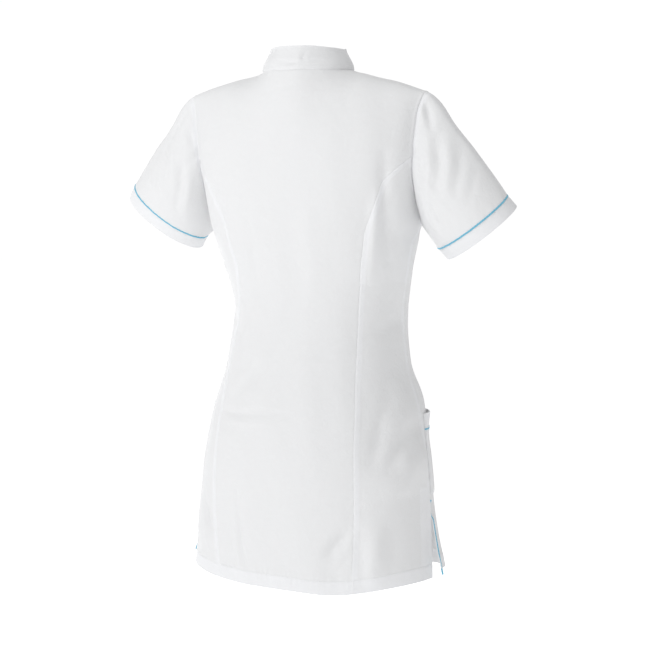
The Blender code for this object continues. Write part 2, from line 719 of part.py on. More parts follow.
def wall_object(name, grid, totals, collection, closed=False, start_inset=SEAM_GAP / 2):
    """A cloth panel of even thickness as one closed mesh."""
    normals = grid_normals(grid, closed)
    rows, columns = grid.shape[:2]
    spread = np.empty_like(grid)
    for row in range(rows):
        for column in range(columns):
            own = normals[row, column]
            total = totals.get(key_of(grid[row, column]), own)
            length = np.linalg.norm(total)
            mitre = total / length if length > SHARPEST_FOLD else own
            spread[row, column] = mitre / max(float(mitre @ own), LEAST_MITRE)
    middle = grid + rim_moves(grid, closed, start_inset)
    outer = middle + spread * WALL / 2
    inner = middle - spread * WALL / 2
    mesh = bmesh.new()
    outside = [[mesh.verts.new(point) for point in row] for row in outer]
    inside = [[mesh.verts.new(point) for point in row] for row in inner]
    last = columns if closed else columns - 1
    for row in range(rows - 1):
        for column in range(last):
            beside = (column + 1) % columns
            mesh.faces.new(
                (outside[row][column], outside[row][beside], outside[row + 1][beside], outside[row + 1][column])
            )
            mesh.faces.new(
                (inside[row][column], inside[row + 1][column], inside[row + 1][beside], inside[row][beside])
            )
    for column in range(last):
        beside = (column + 1) % columns
        mesh.faces.new((inside[0][column], inside[0][beside], outside[0][beside], outside[0][column]))
        mesh.faces.new((outside[-1][column], outside[-1][beside], inside[-1][beside], inside[-1][column]))
    if not closed:
        for row in range(rows - 1):
            mesh.faces.new((inside[row][0], outside[row][0], outside[row + 1][0], inside[row + 1][0]))
            mesh.faces.new((outside[row][-1], inside[row][-1], inside[row + 1][-1], outside[row + 1][-1]))
    bmesh.ops.remove_doubles(mesh, verts=mesh.verts, dist=WELD)
    bmesh.ops.triangulate(mesh, faces=mesh.faces)
    data = bpy.data.meshes.new(name)
    mesh.to_mesh(data)
    mesh.free()
    data.shade_smooth()
    data.set_sharp_from_angle(angle=math.radians(SMOOTH_ANGLE))
    data.materials.append(new_material(name, WHITE, CLOTH_ROUGHNESS))
    obj = bpy.data.objects.new(name, data)
    collection.objects.link(obj)
    return obj


def piping_object(name, points, collection, cyclic):
    """A round cord of piping along a line of points."""
    curve = bpy.data.curves.new(name, "CURVE")
    curve.dimensions = "3D"
    curve.bevel_depth = PIPING_RADIUS
    curve.bevel_resolution = 1
    curve.use_fill_caps = True
    spline = curve.splines.new("POLY")
    spline.points.add(len(points) - 1)
    for place, point in zip(spline.points, points):
        place.co = (*point, 1.0)
    spline.use_cyclic_u = cyclic
    curve.materials.append(new_material(name, BLUE, CLOTH_ROUGHNESS))
    obj = bpy.data.objects.new(name, curve)
    collection.objects.link(obj)
    return obj


def lifted_line(grid, closed, row, lift):
    """One row of a grid, moved out of the cloth by lift."""
    return grid[row] + grid_normals(grid, closed)[row] * lift


def vent_line(panel, side, lift):
    """The line of the piping on the front edge of a vent, from its top to just below the hem."""
    edge, inner = (-1, -2) if side == "left" else (0, 1)
    normals = grid_normals(panel)[:, edge]
    inward = directions(panel[:, inner] - panel[:, edge])
    line = panel[:, edge] + normals * lift + inward * VENT_PIPING_INSET
    line = line[: ROWS_TO_HEM + 1]
    tail = line[0] + unit(line[0] - line[1]) * VENT_PIPING_TAIL
    return [tail, *line]


def build():
    for obj in list(bpy.data.objects):
        bpy.data.objects.remove(obj)
    collection = bpy.data.collections.new("medical_tunic")
    bpy.context.scene.collection.children.link(collection)

    on_top = WALL / 2 + PIPING_RADIUS + PIPING_CLEARANCE
    torso = torso_grids()
    walls = {name: (grid, False) for name, grid in torso.items()}
    walls["collar"] = (
        collar_grid(torso["back_centre"], torso["front_centre_left"], torso["front_centre_right"]),
        False,
    )
    for cuff in CUFFS:
        for part, grid in zip(("sleeve", "sleeve_band"), sleeve_grids(cuff, torso)):
            walls[f"{part}_{cuff.side}"] = (mirrored(grid) if cuff.side == "right" else grid, True)
    totals = shared_normals(walls.values())
    for name, (grid, closed) in walls.items():
        inset = SLEEVE_SEAM_INSET if name in ("sleeve_left", "sleeve_right") else SEAM_GAP / 2
        wall_object(name, grid, totals, collection, closed, inset)

    for side in ("left", "right"):
        panel = torso[f"front_side_{side}"]
        seam_z = POCKET_TOP_Z - POCKET_BAND
        band = pocket_grid(panel, side == "left", POCKET_TOP_Z, seam_z)
        pouch = pocket_grid(panel, side == "left", seam_z, POCKET_BOTTOM_Z)
        pocket_totals = shared_normals([(band, False), (pouch, False)])
        wall_object(f"pocket_band_{side}", band, pocket_totals, collection)
        wall_object(f"pocket_{side}", pouch, pocket_totals, collection)
        piping_object(f"pocket_piping_{side}", lifted_line(band, False, 0, on_top), collection, False)
        band_grid = walls[f"sleeve_band_{side}"][0]
        piping_object(f"sleeve_piping_{side}", lifted_line(band_grid, True, 0, on_top), collection, True)
        piping_object(f"vent_piping_{side}", vent_line(panel, side, on_top), collection, False)


build()
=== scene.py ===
"""Looks of the short-sleeved medical tunic: its cloth, seams, stitching and piping, in a pale studio.

Metres, +Z up. The back faces +Y and the wearer's left is +X. The cloth is drawn on the same worn form as the
solids: the same tables and rows, with finer points between them and the small relief of sewn cloth on top.
"""

import math
from collections import namedtuple

import bpy
import numpy as np
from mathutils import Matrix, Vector

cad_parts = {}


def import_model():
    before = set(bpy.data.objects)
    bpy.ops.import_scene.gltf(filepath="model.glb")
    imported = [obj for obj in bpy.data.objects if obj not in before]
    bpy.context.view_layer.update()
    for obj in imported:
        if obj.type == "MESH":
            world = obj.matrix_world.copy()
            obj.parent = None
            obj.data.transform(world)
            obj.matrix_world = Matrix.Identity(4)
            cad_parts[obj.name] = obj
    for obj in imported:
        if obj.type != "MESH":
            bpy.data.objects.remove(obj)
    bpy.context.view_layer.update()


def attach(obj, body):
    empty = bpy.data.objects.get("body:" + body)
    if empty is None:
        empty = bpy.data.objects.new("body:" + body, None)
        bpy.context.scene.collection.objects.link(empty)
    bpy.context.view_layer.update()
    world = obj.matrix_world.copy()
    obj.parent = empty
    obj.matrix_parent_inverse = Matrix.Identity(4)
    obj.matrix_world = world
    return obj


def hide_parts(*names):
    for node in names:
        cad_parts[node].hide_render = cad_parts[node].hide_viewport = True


# The solids' wall and seams, and limits of the sums
WALL = 0.0014
SEAM_GAP = 0.0003
SHARPEST_FOLD = 0.2
LEAST_MITRE = 0.55
LEAST_LENGTH = 1e-9
KEY_STEPS = 1e5
LAYER = WALL + SEAM_GAP
PIPING_RADIUS = 0.00125
MILLIMETRES = 1000.0
SIDES = ("left", "right")
MIRROR = np.array((-1.0, 1.0, 1.0))

# Heights of the main levels
UNDERARM_Z = -0.218
VENT_TOP_Z = -0.612
HEM_BACK_CENTRE_Z = -0.7345
HEM_BACK_SIDE_Z = -0.7190
HEM_FRONT_CENTRE_Z = -0.716
HEM_FRONT_SIDE_Z = -0.7050
HEM_TILT = 0.010

# Neckline and shoulder
NECK_HALF_WIDTH = 0.0670
NECK_Y = 0.001
NECK_BACK = 0.062
NECK_FRONT = 0.072
NECK_Z = -0.002
NECK_BACK_ROUND = 2.0
NECK_BACK_CROWN = 0.040
NECK_FRONT_ROUND = 1.6
NECK_FRONT_CROWN = 0.005
SHOULDER_TIP_X = 0.186
SHOULDER_TIP_Y = 0.004
SHOULDER_TIP_Z = -0.036
SHOULDER_RISE = 0.0015
LEFT_SHOULDER_RISE = 0.0035
SHOULDER_ROUNDNESS = 3.0
RELAX_ROUNDS = 4
RELAX_WIDTH = 0.020
RELAX_LEVEL = 0.60
UNDERARM_ROUNDS = 14
UNDERARM_ROWS_BELOW = 1
UNDERARM_ROWS_ABOVE = 4
UNDERARM_FADE_TURN = 35.0

# Collar. Its ends are rounded over the length from the lap's end to one column of the coarse front.
COLLAR_HEIGHT = 0.035
COLLAR_SIDE_HEIGHT = 0.0295
COLLAR_LEAN = 0.815
COLLAR_END_X = 0.004
COLLAR_END_SHARE = 0.62
COLLAR_ROUND_COLUMN = 2

# The fronts lap over each other, the wearer's right one on top
LAP = 0.015
UNDERLAP_START = 0.041
UNDERLAP_FULL = 0.019
UNDERLAP_DEPTH = 0.0023

# Fullness over the bust
BUST_X = 0.084
BUST_Z = -0.262
BUST_RISE = 0.012
BUST_WIDTH = 0.046
BUST_HEIGHT = 0.055

# Vents: how the fronts flare below them, and the piping down their front edges
VENT_FLARE = 0.014
VENT_FLARE_POWER = 1.5
VENT_FLARE_TURN = 60.0
VENT_PIPING_INSET = 0.0016
VENT_PIPING_TAIL = 0.009
VENT_TAIL_ROWS = 6
VENT_INWARD_COLUMNS = 3

# Pockets and the sleeves' bands
POCKET_TOP_Z = -0.491
POCKET_BOTTOM_Z = -0.604
POCKET_BAND = 0.022
POCKET_CLEARANCE = 0.0005
POCKET_ROW_SPACE = 0.004
SLEEVE_BAND = 0.020

# Half-width, depth behind and before the side line, place of that line, and roundness behind and before
Section = namedtuple("Section", "z half_width back front side_y back_round front_round")
SECTIONS = (
    Section(-0.218, 0.1625, 0.108, 0.084, -0.036, 3.0, 1.60),
    Section(-0.240, 0.1550, 0.095, 0.095, -0.027, 2.6, 1.75),
    Section(-0.265, 0.1485, 0.090, 0.102, -0.024, 2.4, 1.85),
    Section(-0.300, 0.1380, 0.093, 0.099, -0.029, 2.3, 1.95),
    Section(-0.355, 0.1295, 0.106, 0.091, -0.037, 2.3, 2.00),
    Section(-0.420, 0.1360, 0.123, 0.087, -0.040, 2.3, 1.95),
    Section(-0.490, 0.1570, 0.136, 0.087, -0.039, 2.3, 1.95),
    Section(-0.560, 0.1710, 0.133, 0.092, -0.031, 2.3, 2.05),
    Section(-0.620, 0.1775, 0.128, 0.091, -0.027, 2.3, 2.15),
    Section(-0.740, 0.1885, 0.106, 0.097, -0.013, 2.2, 2.40),
)

# Distance of the princess seams from the middle, below the underarm. The worn back is turned a little.
Seam = namedtuple("Seam", "z back_right back_left front")
SEAMS = (
    Seam(-0.218, 0.1160, 0.0970, 0.100),
    Seam(-0.240, 0.1105, 0.0920, 0.095),
    Seam(-0.265, 0.1055, 0.0900, 0.090),
    Seam(-0.300, 0.0995, 0.0920, 0.083),
    Seam(-0.355, 0.0955, 0.0960, 0.074),
    Seam(-0.420, 0.0980, 0.1010, 0.074),
    Seam(-0.490, 0.1040, 0.1060, 0.078),
    Seam(-0.560, 0.1080, 0.1100, 0.083),
    Seam(-0.620, 0.1090, 0.1100, 0.087),
    Seam(-0.740, 0.1050, 0.1020, 0.092),
)

# From the underarm (level 0) to the shoulder (level 1): the armhole's edge and the sections behind it
Chest = namedtuple("Chest", "level edge_x back_turn front_turn back front side_y back_round front_round")
CHEST = (
    Chest(0.00, 0.1625, 0.0, 0.0, 0.1080, 0.0840, -0.0360, 3.0, 1.60),
    Chest(0.02, 0.1645, 1.2, 8.4, 0.1077, 0.0845, -0.0353, 3.0, 1.63),
    Chest(0.06, 0.1662, 2.6, 14.0, 0.1073, 0.0852, -0.0340, 2.9, 1.70),
    Chest(0.12, 0.1667, 4.8, 19.2, 0.1060, 0.0865, -0.0315, 2.8, 1.80),
    Chest(0.26, 0.1672, 11.6, 24.4, 0.1017, 0.0885, -0.0245, 2.6, 1.95),
    Chest(0.40, 0.1682, 16.2, 25.4, 0.0977, 0.0890, -0.0180, 2.5, 2.00),
    Chest(0.53, 0.1706, 18.0, 25.6, 0.0945, 0.0885, -0.0130, 2.4, 2.05),
    Chest(0.72, 0.1745, 18.0, 23.6, 0.0900, 0.0865, -0.0070, 2.2, 2.10),
    Chest(0.89, 0.1790, 16.5, 19.0, 0.0863, 0.0845, -0.0025, 2.1, 2.10),
    Chest(1.00, 0.1860, 16.0, 16.0, 0.0840, 0.0840, 0.0000, 2.1, 2.10),
)

# The same above the underarm, by level, to where the seams meet the armhole
SeamTop = namedtuple("SeamTop", "level back_right back_left front")
SEAM_TOPS = (
    SeamTop(0.00, 0.1160, 0.0970, 0.1000),
    SeamTop(0.12, 0.1230, 0.1140, 0.1110),
    SeamTop(0.28, 0.1375, 0.1375, 0.1290),
    SeamTop(0.42, 0.1570, 0.1580, 0.1510),
    SeamTop(0.51, 0.1700, 0.1700, 0.1700),
)
SEAM_TOP_LEVEL = SEAM_TOPS[-1].level
USUAL_SEAM_TURN = 45.0

# Rows of every panel: shares of the way down to the vent and on to the hem, and levels above the underarm
ROWS_TO_VENT = 13
ROWS_TO_HEM = 4
CHEST_LEVELS = (
    0.02, 0.06, 0.12, 0.20, 0.28, 0.36, 0.44, 0.51, 0.60, 0.69, 0.77, 0.84, 0.90, 0.95, 0.985, 1.0
)
NECK_COLUMNS = 5
SHOULDER_COLUMNS = 5
SIDE_COLUMNS = 5

# Columns of a pocket, by their share of the panel from the side seam to the front seam: how far the lip of
# its mouth and its pouch stand off
PocketColumn = namedtuple("PocketColumn", "across lip pouch")
POCKET_COLUMNS = (
    PocketColumn(0.035, 0.0000, 0.0000),
    PocketColumn(0.100, 0.0040, 0.0000),
    PocketColumn(0.200, 0.0055, 0.0000),
    PocketColumn(0.300, 0.0055, 0.0012),
    PocketColumn(0.400, 0.0035, 0.0046),
    PocketColumn(0.600, 0.0015, 0.0108),
    PocketColumn(0.800, 0.0006, 0.0098),
    PocketColumn(0.900, 0.0000, 0.0050),
    PocketColumn(0.965, 0.0000, 0.0000),
)
POCKET_LIP_DEPTH = 0.26

# The sleeves, as if both were on the left: the cuff's middle, the way out to its outer edge, the way the arm
# points, and half the cuff's height and depth
Cuff = namedtuple("Cuff", "side centre out arm half_height half_depth")
CUFFS = (
    Cuff("left", (0.2555, -0.024, -0.216), (0.800, 0.150, 0.570), (0.597, -0.298, -0.745), 0.0675, 0.0315),
    Cuff("right", (0.2570, -0.024, -0.231), (0.840, 0.150, 0.510), (0.560, -0.370, -0.740), 0.0635, 0.0450),
)
SLEEVE_FULLNESS_TOP = 0.0035
SLEEVE_FULLNESS_BACK = 0.011
CAP_PUFF = 0.0040
CAP_PUFF_AT = 0.13

# The largest folds of the torso by face, in millimetres: depth, width, then the ends (x, z). Depth is
# negative for a trough.
FOLD_END_SHARE = 0.35
FOLDS = {
    "back": (
        (-4.5, 13, (-120, -450), (-132, -560)),
        (3.5, 13, (-160, -520), (-148, -600)),
        (-3.5, 10, (-150, -500), (-143, -560)),
        (4.5, 14, (-127, -650), (-122, -725)),
        (-3, 14, (-98, -660), (-75, -710)),
        (-3, 18, (10, -400), (92, -470)),
        (-2.5, 10, (110, -485), (50, -500)),
        (3.5, 14, (150, -640), (140, -700)),
        (-2.5, 14, (88, -610), (80, -730)),
        (3, 12, (-140, -170), (-130, -300)),
    ),
    "front": (
        (-3.5, 15, (125, -440), (118, -560)),
        (4, 18, (60, -560), (52, -700)),
        (-4, 18, (-55, -520), (-68, -700)),
        (-3, 16, (-20, -330), (-75, -400)),
        (-2.5, 14, (20, -345), (70, -385)),
    ),
}

# Finer grids for the cloth that shows
FINE_STEP = 0.0030
COLLAR_STEP = 0.0022
EDGE_OFFSETS = (0.0006, 0.0013, 0.0022, 0.0034, 0.0050, 0.0070, 0.0090)
LEAST_STEP = 0.0004
HEM_DEPTH = 0.0195
EDGE_SOFT = 0.0008
LAYER_FADE = 0.0020
CLOTH = 0.0008
OUT = WALL / 2

# Seams, turned edges and the puckers, ridges and drops beside them
SEAM_GROOVE = 0.00045
SEAM_GROOVE_WIDTH = 0.0010
ARMHOLE_GROOVE_SHARE = 0.25
ALLOWANCE = 0.0090
ALLOWANCE_LIFT = 0.00030
ALLOWANCE_RISE = (0.0004, 0.0020)
ALLOWANCE_FALL = 0.0018
ALLOWANCE_FADE = 0.0022
ARMHOLE_RIDGE = 0.0006
ARMHOLE_RIDGE_AT = 0.0024
ARMHOLE_RIDGE_WIDTH = 0.0016
CAP_DROP = 0.00119
CAP_DROP_WIDTH = 0.0035
CAP_DROP_AT = 0.0021
CAP_CALM = 0.006
SLEEVE_FACE = (0.05, 0.45)
TURNING_LIFT = 0.00035
STITCH_SINK = 0.00018
STITCH_SINK_WIDTH = 0.0011
PUCKER = 0.00028
PUCKER_REACH = 0.0075
PUCKER_LENGTH = 0.0115
PUCKER_DRIFT_LENGTH = 0.047
PUCKER_DRIFT = 2.5
PUCKER_SLANT = 0.6
SIDE_PUCKER = 0.8
HEM_SINK = 1.6
HEM_PUCKER = 1.1
HEM_PUCKER_SLANT = 0.7
HEM_PUCKER_NARROW = 0.6
CUFF_PUCKER = 1.2
CUFF_PUCKER_SLANT = 1.3
VENT_FACING = 0.0260
VENT_FACING_ABOVE = 0.0200
FACING_FADE = 0.0012
FACING_ROWS = 8
FRONT_VENT_TURNING = 0.0060
TURNING_ROWS = 1
VENT_SOFT = 0.004
PLACKET = 0.0280
PLACKET_TONE = 0.7
PLACKET_SHARE = 0.6
PLACKET_SOFT = 0.001
SIDE_FADE = 0.010
VENT_TUCK = 0.0027
VENT_TUCK_LENGTH = 0.029
VENT_TUCK_WIDTH = 0.014
VENT_TUCK_START = (0.001, 0.005)
VENT_TUCK_FADE = 0.008
CREASE_DEPTH = 1.8
CREASE_END_SHARE = 0.25
CREASE_CUT_OFF = 0.05
COLLAR_GROOVE = 0.0008

# Stitches, and the places of their rows on bands, collar and pockets
STITCH_LENGTH = 0.0024
STITCH_SPACE = 0.0009
STITCH_RADIUS = 0.00022
STITCH_RISE = 0.4
STITCH_SHARES = (0.0, 0.18, 0.82, 1.0)
STITCH_RING = (45, 135, 225, 315)
BAND_STITCH_AT = 0.0030
BAND_RISE = (0.0006, 0.0022)

COLLAR_BULGE = 0.0010
COLLAR_BULGE_RUN = 0.9
COLLAR_CALM = 0.004
COLLAR_BACK_Y = 0.02
COLLAR_PUCKER = 0.8
COLLAR_PUCKER_SLANT = 0.4
COLLAR_TONE = 0.25
COLLAR_STITCH_UP = 0.0050
COLLAR_STITCH_DOWN = 0.0045

POCKET_STITCH_AT = 0.0025
POCKET_BAND_STITCH_AT = 0.0035
POCKET_PUCKER = 0.7
POCKET_TURNING = 0.008
POCKET_TURNING_FADE = 0.002
POCKET_EDGE_DROP = 0.0009
POCKET_EDGE_WIDTH = 0.0045

PIPING_SUNK = 0.0011

# Slow waves of the whole cloth, then finer ones: amplitude and wavelengths along x, y and z
Drift = namedtuple("Drift", "seed count amplitude length_x length_y length_z")
DRIFTS = (
    Drift(11, 9, 0.00055, 0.110, 0.110, 0.300),
    Drift(23, 12, 0.00022, 0.045, 0.045, 0.140),
    Drift(37, 16, 0.00005, 0.014, 0.014, 0.030),
)

# Creases of the torso in the same way, as lines of two or more points
CREASES = {
    "back": (
        (-1, 4.5, (104, -488), (70, -489.5), (29, -487), (-19, -487)),
        (0.7, 6, (100, -500), (60, -501), (20, -498)),
        (-0.9, 8, (7, -398), (46, -434), (83, -467)),
        (0.6, 8, (25, -396), (62, -430), (94, -455)),
        (-2.5, 7.8, (-138, -458), (-134, -505), (-130, -553)),
        (-2.5, 7.4, (-164, -492), (-158, -528), (-150, -560)),
        (2.7, 8.8, (-178, -514), (-173, -550), (-166, -590)),
        (-1.7, 10.5, (-116, -640), (-118, -675), (-119, -718)),
        (2.2, 10.5, (-139, -648), (-137, -675), (-134, -712)),
        (-1.8, 12, (-170, -604), (-174, -645), (-178, -690), (-179, -722)),
        (-1.1, 9.5, (-160, -630), (-158, -665), (-157, -700)),
        (-2.2, 8, (-103, -646), (-87, -665), (-72, -684)),
        (1.1, 7.2, (-112, -655), (-96, -676), (-84, -694)),
        (-1.9, 5, (138, -618), (130, -644), (118, -664)),
        (1, 6, (141, -631), (133, -660), (128, -690)),
        (-1.3, 4.5, (68, -598), (63, -668), (57, -708)),
        (0.7, 5, (76, -640), (71, -680), (66, -710)),
        (-2.7, 7.2, (-142, -122), (-139, -191), (-134, -273)),
        (2.4, 6.6, (-131, -176), (-121, -242), (-113, -298)),
        (-2.1, 8.4, (-148, -186), (-144, -242), (-136, -299)),
        (1.4, 7.2, (-153, -200), (-146, -262), (-138, -330)),
        (-0.5, 3.5, (30, -34), (3, -27), (-22, -21)),
        (-1, 7, (128, -160), (118, -215), (108, -262)),
        (0.8, 7, (112, -150), (104, -205), (98, -255)),
        (-0.7, 9, (70, -160), (60, -250), (52, -330)),
        (0.5, 10, (-30, -180), (-36, -280), (-30, -360)),
        (-0.6, 8, (-98, -372), (-60, -396), (-22, -404)),
        (0.5, 7, (-90, -392), (-55, -412), (-20, -418)),
        (-0.8, 7, (118, -330), (104, -362), (80, -382)),
        (-1.1, 7.2, (-138, -345), (-120, -372), (-102, -384)),
    ),
    "front": (
        (-1.2, 7, (150, -226), (126, -250), (104, -268)),
        (-1.2, 7, (-150, -222), (-128, -244), (-100, -264)),
        (0.9, 7, (148, -240), (122, -268), (98, -290)),
        (0.8, 8, (-147, -238), (-120, -262), (-94, -284)),
        (-1.1, 6, (134, -110), (137, -150), (141, -196)),
        (-1.2, 6, (-132, -118), (-136, -156), (-142, -200)),
        (-0.8, 7, (22, -330), (50, -352), (88, -360)),
        (0.6, 7, (20, -350), (52, -370), (86, -376)),
        (-0.9, 7, (-22, -322), (-54, -350), (-92, -356)),
        (-0.7, 6, (-24, -372), (-60, -390), (-90, -398)),
        (-0.8, 6, (110, -320), (98, -352), (84, -372)),
        (-1, 8, (60, -560), (54, -640), (50, -700)),
        (0.9, 7, (74, -590), (68, -650), (66, -704)),
        (-1.1, 7, (-58, -540), (-66, -620), (-70, -700)),
        (0.8, 7, (-44, -580), (-50, -650), (-52, -704)),
        (-0.8, 6, (-128, -610), (-132, -650), (-138, -694)),
        (-0.8, 6, (136, -615), (140, -655), (142, -690)),
        (0.7, 6, (122, -620), (126, -660), (128, -694)),
        (-0.5, 5, (30, -90), (52, -130), (66, -176)),
        (-0.5, 5, (-34, -86), (-58, -124), (-70, -180)),
    ),
}

# Creases of the sleeves in the same way, by the sleeve and its face
SLEEVE_CREASES = {
    ("left", "back"): (
        (-0.9, 3.5, (190, -50), (202, -67), (223, -99)),
        (-1.4, 6, (234, -90), (228, -128), (227, -162)),
        (1, 6, (218, -98), (213, -130), (212, -165)),
        (-1.2, 4, (190, -76), (184, -92), (180, -106)),
        (-1.4, 6, (196, -130), (200, -165), (212, -200)),
        (1, 6, (184, -135), (188, -170), (200, -208)),
        (-0.9, 5, (250, -128), (246, -150), (243, -172)),
    ),
    ("left", "front"): (
        (-1.4, 6, (232, -96), (222, -130), (214, -170)),
        (1.2, 6, (214, -90), (206, -124), (202, -160)),
        (-1.3, 5, (196, -86), (190, -116), (190, -150)),
        (-1, 5, (236, -150), (228, -176), (224, -200)),
    ),
    ("right", "back"): (
        (2.2, 5, (-181, -48), (-184, -60), (-188, -76)),
        (-2.7, 4.8, (-189, -56), (-194, -70), (-199, -88)),
        (-2.2, 8, (-207, -98), (-216, -137), (-213, -178)),
        (1.6, 7, (-222, -96), (-228, -131), (-227, -172)),
        (1.2, 6, (-196, -104), (-201, -140), (-198, -176)),
        (-1.2, 5.5, (-240, -112), (-243, -145), (-241, -180)),
        (-1.3, 5.5, (-196, -190), (-206, -212), (-220, -228)),
        (0.9, 5.5, (-188, -176), (-196, -206), (-207, -230)),
        (-0.8, 5, (-262, -140), (-262, -166), (-258, -192)),
    ),
    ("right", "front"): (
        (-1.5, 6, (-232, -100), (-226, -136), (-216, -176)),
        (1.2, 6, (-216, -94), (-208, -128), (-202, -166)),
        (-1.3, 5, (-198, -84), (-192, -112), (-190, -152)),
        (-1, 5, (-246, -136), (-238, -170), (-230, -204)),
    ),
}

# Wrinkles of the collar's back by x and height above its base, across and up
CollarWrinkle = namedtuple("CollarWrinkle", "x rise depth width height")
COLLAR_WRINKLES = (
    CollarWrinkle(-0.0190, 0.0200, -0.0013, 0.0015, 0.0090),
    CollarWrinkle(-0.0150, 0.0180, 0.0007, 0.0030, 0.0110),
    CollarWrinkle(-0.0240, 0.0180, 0.0007, 0.0032, 0.0100),
    CollarWrinkle(-0.0050, 0.0095, -0.0008, 0.0160, 0.0018),
    CollarWrinkle(0.0120, 0.0130, -0.0005, 0.0130, 0.0024),
    CollarWrinkle(-0.0360, 0.0110, -0.0006, 0.0120, 0.0022),
    CollarWrinkle(0.0320, 0.0150, 0.0004, 0.0120, 0.0050),
)

# Colours of one and two layers of cloth, of thread, and of the piping: its blue and a lighter blue that is
# painted sheen on its strands' crests
SINGLE = (0.730, 0.734, 0.741)
DOUBLE = (0.765, 0.771, 0.786)
THREAD = (0.880, 0.885, 0.895)
PIPING_BLUE = (0.105, 0.400, 0.560)
# The lighter blue is painted sheen, laid on the piping strands' crests
PIPING_SHEEN_BLUE = (0.190, 0.520, 0.680)

# What each piece is cut to as far as it shows, in metres and square metres
Cut = namedtuple("Cut", "width length area")
CUTS = {
    "back_centre": Cut(0.400, 0.750, 0.205),
    "back_side_left": Cut(0.125, 0.625, 0.0710),
    "back_side_right": Cut(0.125, 0.625, 0.0710),
    "front_centre_left": Cut(0.215, 0.735, 0.0970),
    "front_centre_right": Cut(0.215, 0.735, 0.0970),
    "front_side_left": Cut(0.140, 0.610, 0.0670),
    "front_side_right": Cut(0.140, 0.610, 0.0670),
    "collar": Cut(0.400, 0.036, 0.0135),
    "sleeve_left": Cut(0.420, 0.200, 0.0420),
    "sleeve_right": Cut(0.430, 0.210, 0.0450),
    "sleeve_band_left": Cut(0.325, 0.021, 0.0068),
    "sleeve_band_right": Cut(0.345, 0.021, 0.0072),
    "pocket_left": Cut(0.125, 0.093, 0.0116),
    "pocket_right": Cut(0.125, 0.093, 0.0116),
    "pocket_band_left": Cut(0.120, 0.023, 0.0027),
    "pocket_band_right": Cut(0.120, 0.023, 0.0027),
}

# How thick double cloth is built, and the piping's cord
LAYER_SHARE = 0.7
SHARP_ANGLE = 50.0
PIPING_STEP = 0.0008
PIPING_SIDES = 10
PIPING_STRAND = 0.05
PIPING_TWIST = 0.0042
PIPING_STRANDS = 2
PIPING_DEPTH = 0.0002
THREAD_DEPTH = 0.0001
PIPING_ABOVE = PIPING_RADIUS - PIPING_SUNK
PIPING_LIFT = OUT + PIPING_ABOVE

# The cloth's weave, slubs, blotches and crumple
WEAVE = 0.0006
WEAVE_DEPTH = 0.00006
SLUB = 2.0
SLUB_STRETCH = 0.12
MOTTLE = 0.35
MOTTLE_TONE = (0.724, 0.728, 0.735)
CRUMPLE = 0.0012
MIX_COLOUR_INPUTS = (6, 7)
MIX_COLOUR_OUTPUT = 2

# Camera, with turns in degrees
CAMERA_PLACE = (-1.2609, 2.4449, -0.1913)
CAMERA_YAW = 26.82
CAMERA_PITCH = 3.63
CAMERA_LENS = 105.7
CAMERA_SENSOR = 36.0

# Light all round, with a brighter patch behind the tunic, two lamps that point at its middle, and the floor
BODY_MIDDLE_Z = -0.35
WORLD_LEFT = -0.086
WORLD_UP = 0.951
WORLD_NEAR = 0.296
WORLD_DIM = 0.318
WORLD_BRIGHT = 0.740
WORLD_TONE = (1.0, 1.0, 1.0)
SEEN_WORLD = 1.02
BACKDROP_START = 0.78
BACKDROP_FULL = 0.94
BACKDROP_GLOW = 0.56
LAMP_SIZE = 1.8
KEY_POWER = 39.0
KEY_LEFT = 2.2
KEY_NEAR = 1.6
KEY_HEIGHT = 1.4
FILL_POWER = 14.0
FILL_LEFT = 0.9
FILL_FAR = 2.3
FILL_HEIGHT = -0.25
FLOOR_Z = -1.15
FLOOR_RADIUS = 30.0
FLOOR_SIDES = 96
FLOOR_TONE = (0.93, 0.93, 0.935)
FLOOR_GLOW = 0.40

# How far the cloth hangs out from the solids' sides, by height, on the wearer's left and right
Ease = namedtuple("Ease", "z left right")
EASES = (
    Ease(-0.150, 0.0000, 0.0000),
    Ease(-0.205, 0.0000, -0.0025),
    Ease(-0.232, 0.0000, -0.0045),
    Ease(-0.260, 0.0000, -0.0015),
    Ease(-0.295, -0.0010, 0.0010),
    Ease(-0.332, -0.0030, 0.0022),
    Ease(-0.385, 0.0010, 0.0030),
    Ease(-0.440, 0.0006, 0.0022),
    Ease(-0.480, 0.0005, 0.0034),
    Ease(-0.520, 0.0000, 0.0018),
    Ease(-0.630, 0.0000, 0.0015),
    Ease(-0.690, 0.0000, 0.0008),
    Ease(-0.740, 0.0000, 0.0000),
)
EASE_FULL_X = 0.120
SIDE_BULGE = 0.0045
SIDE_BULGE_Z = -0.463
SIDE_BULGE_HEIGHT = 0.030
SIDE_BULGE_AT = 0.013
SIDE_BULGE_WIDTH = 0.010
SIDE_BULGE_START = 0.006
HEM_DROP = 0.0045
HEM_DROP_X = -0.085
HEM_DROP_WIDTH = 0.050
HEM_DROP_START_Z = -0.640
HEM_DROP_FULL_Y = 0.04

# Where the surface is evened out: beside the neck points and at the level of the underarms
NECK_ROUNDS = 26
NECK_SMOOTH_WIDTH = 0.024
NECK_SMOOTH_LOW = -0.105
NECK_SMOOTH_HIGH = -0.045
CHEST_ROUNDS = 220
CHEST_SMOOTH_Z = -0.212
CHEST_SMOOTH_HEIGHT = 0.034
CHEST_SMOOTH_OUTER = 0.150
CHEST_SMOOTH_INNER = 0.118


def soft_step(share):
    """A share between 0 and 1, with a soft start and end."""
    return share * share * (3 - 2 * share)


def ease(share):
    """A smooth step from 0 to 1."""
    return soft_step(min(max(share, 0.0), 1.0))


def step_between(values, start, end):
    """A smooth step over an array, from 0 at start to 1 at end."""
    return soft_step(np.clip((values - start) / (end - start), 0, 1))


def within(distance, reach, fade):
    """1 up to a reach, and a smooth fall to 0 over the last of it."""
    return 1 - step_between(distance, reach - fade, reach)


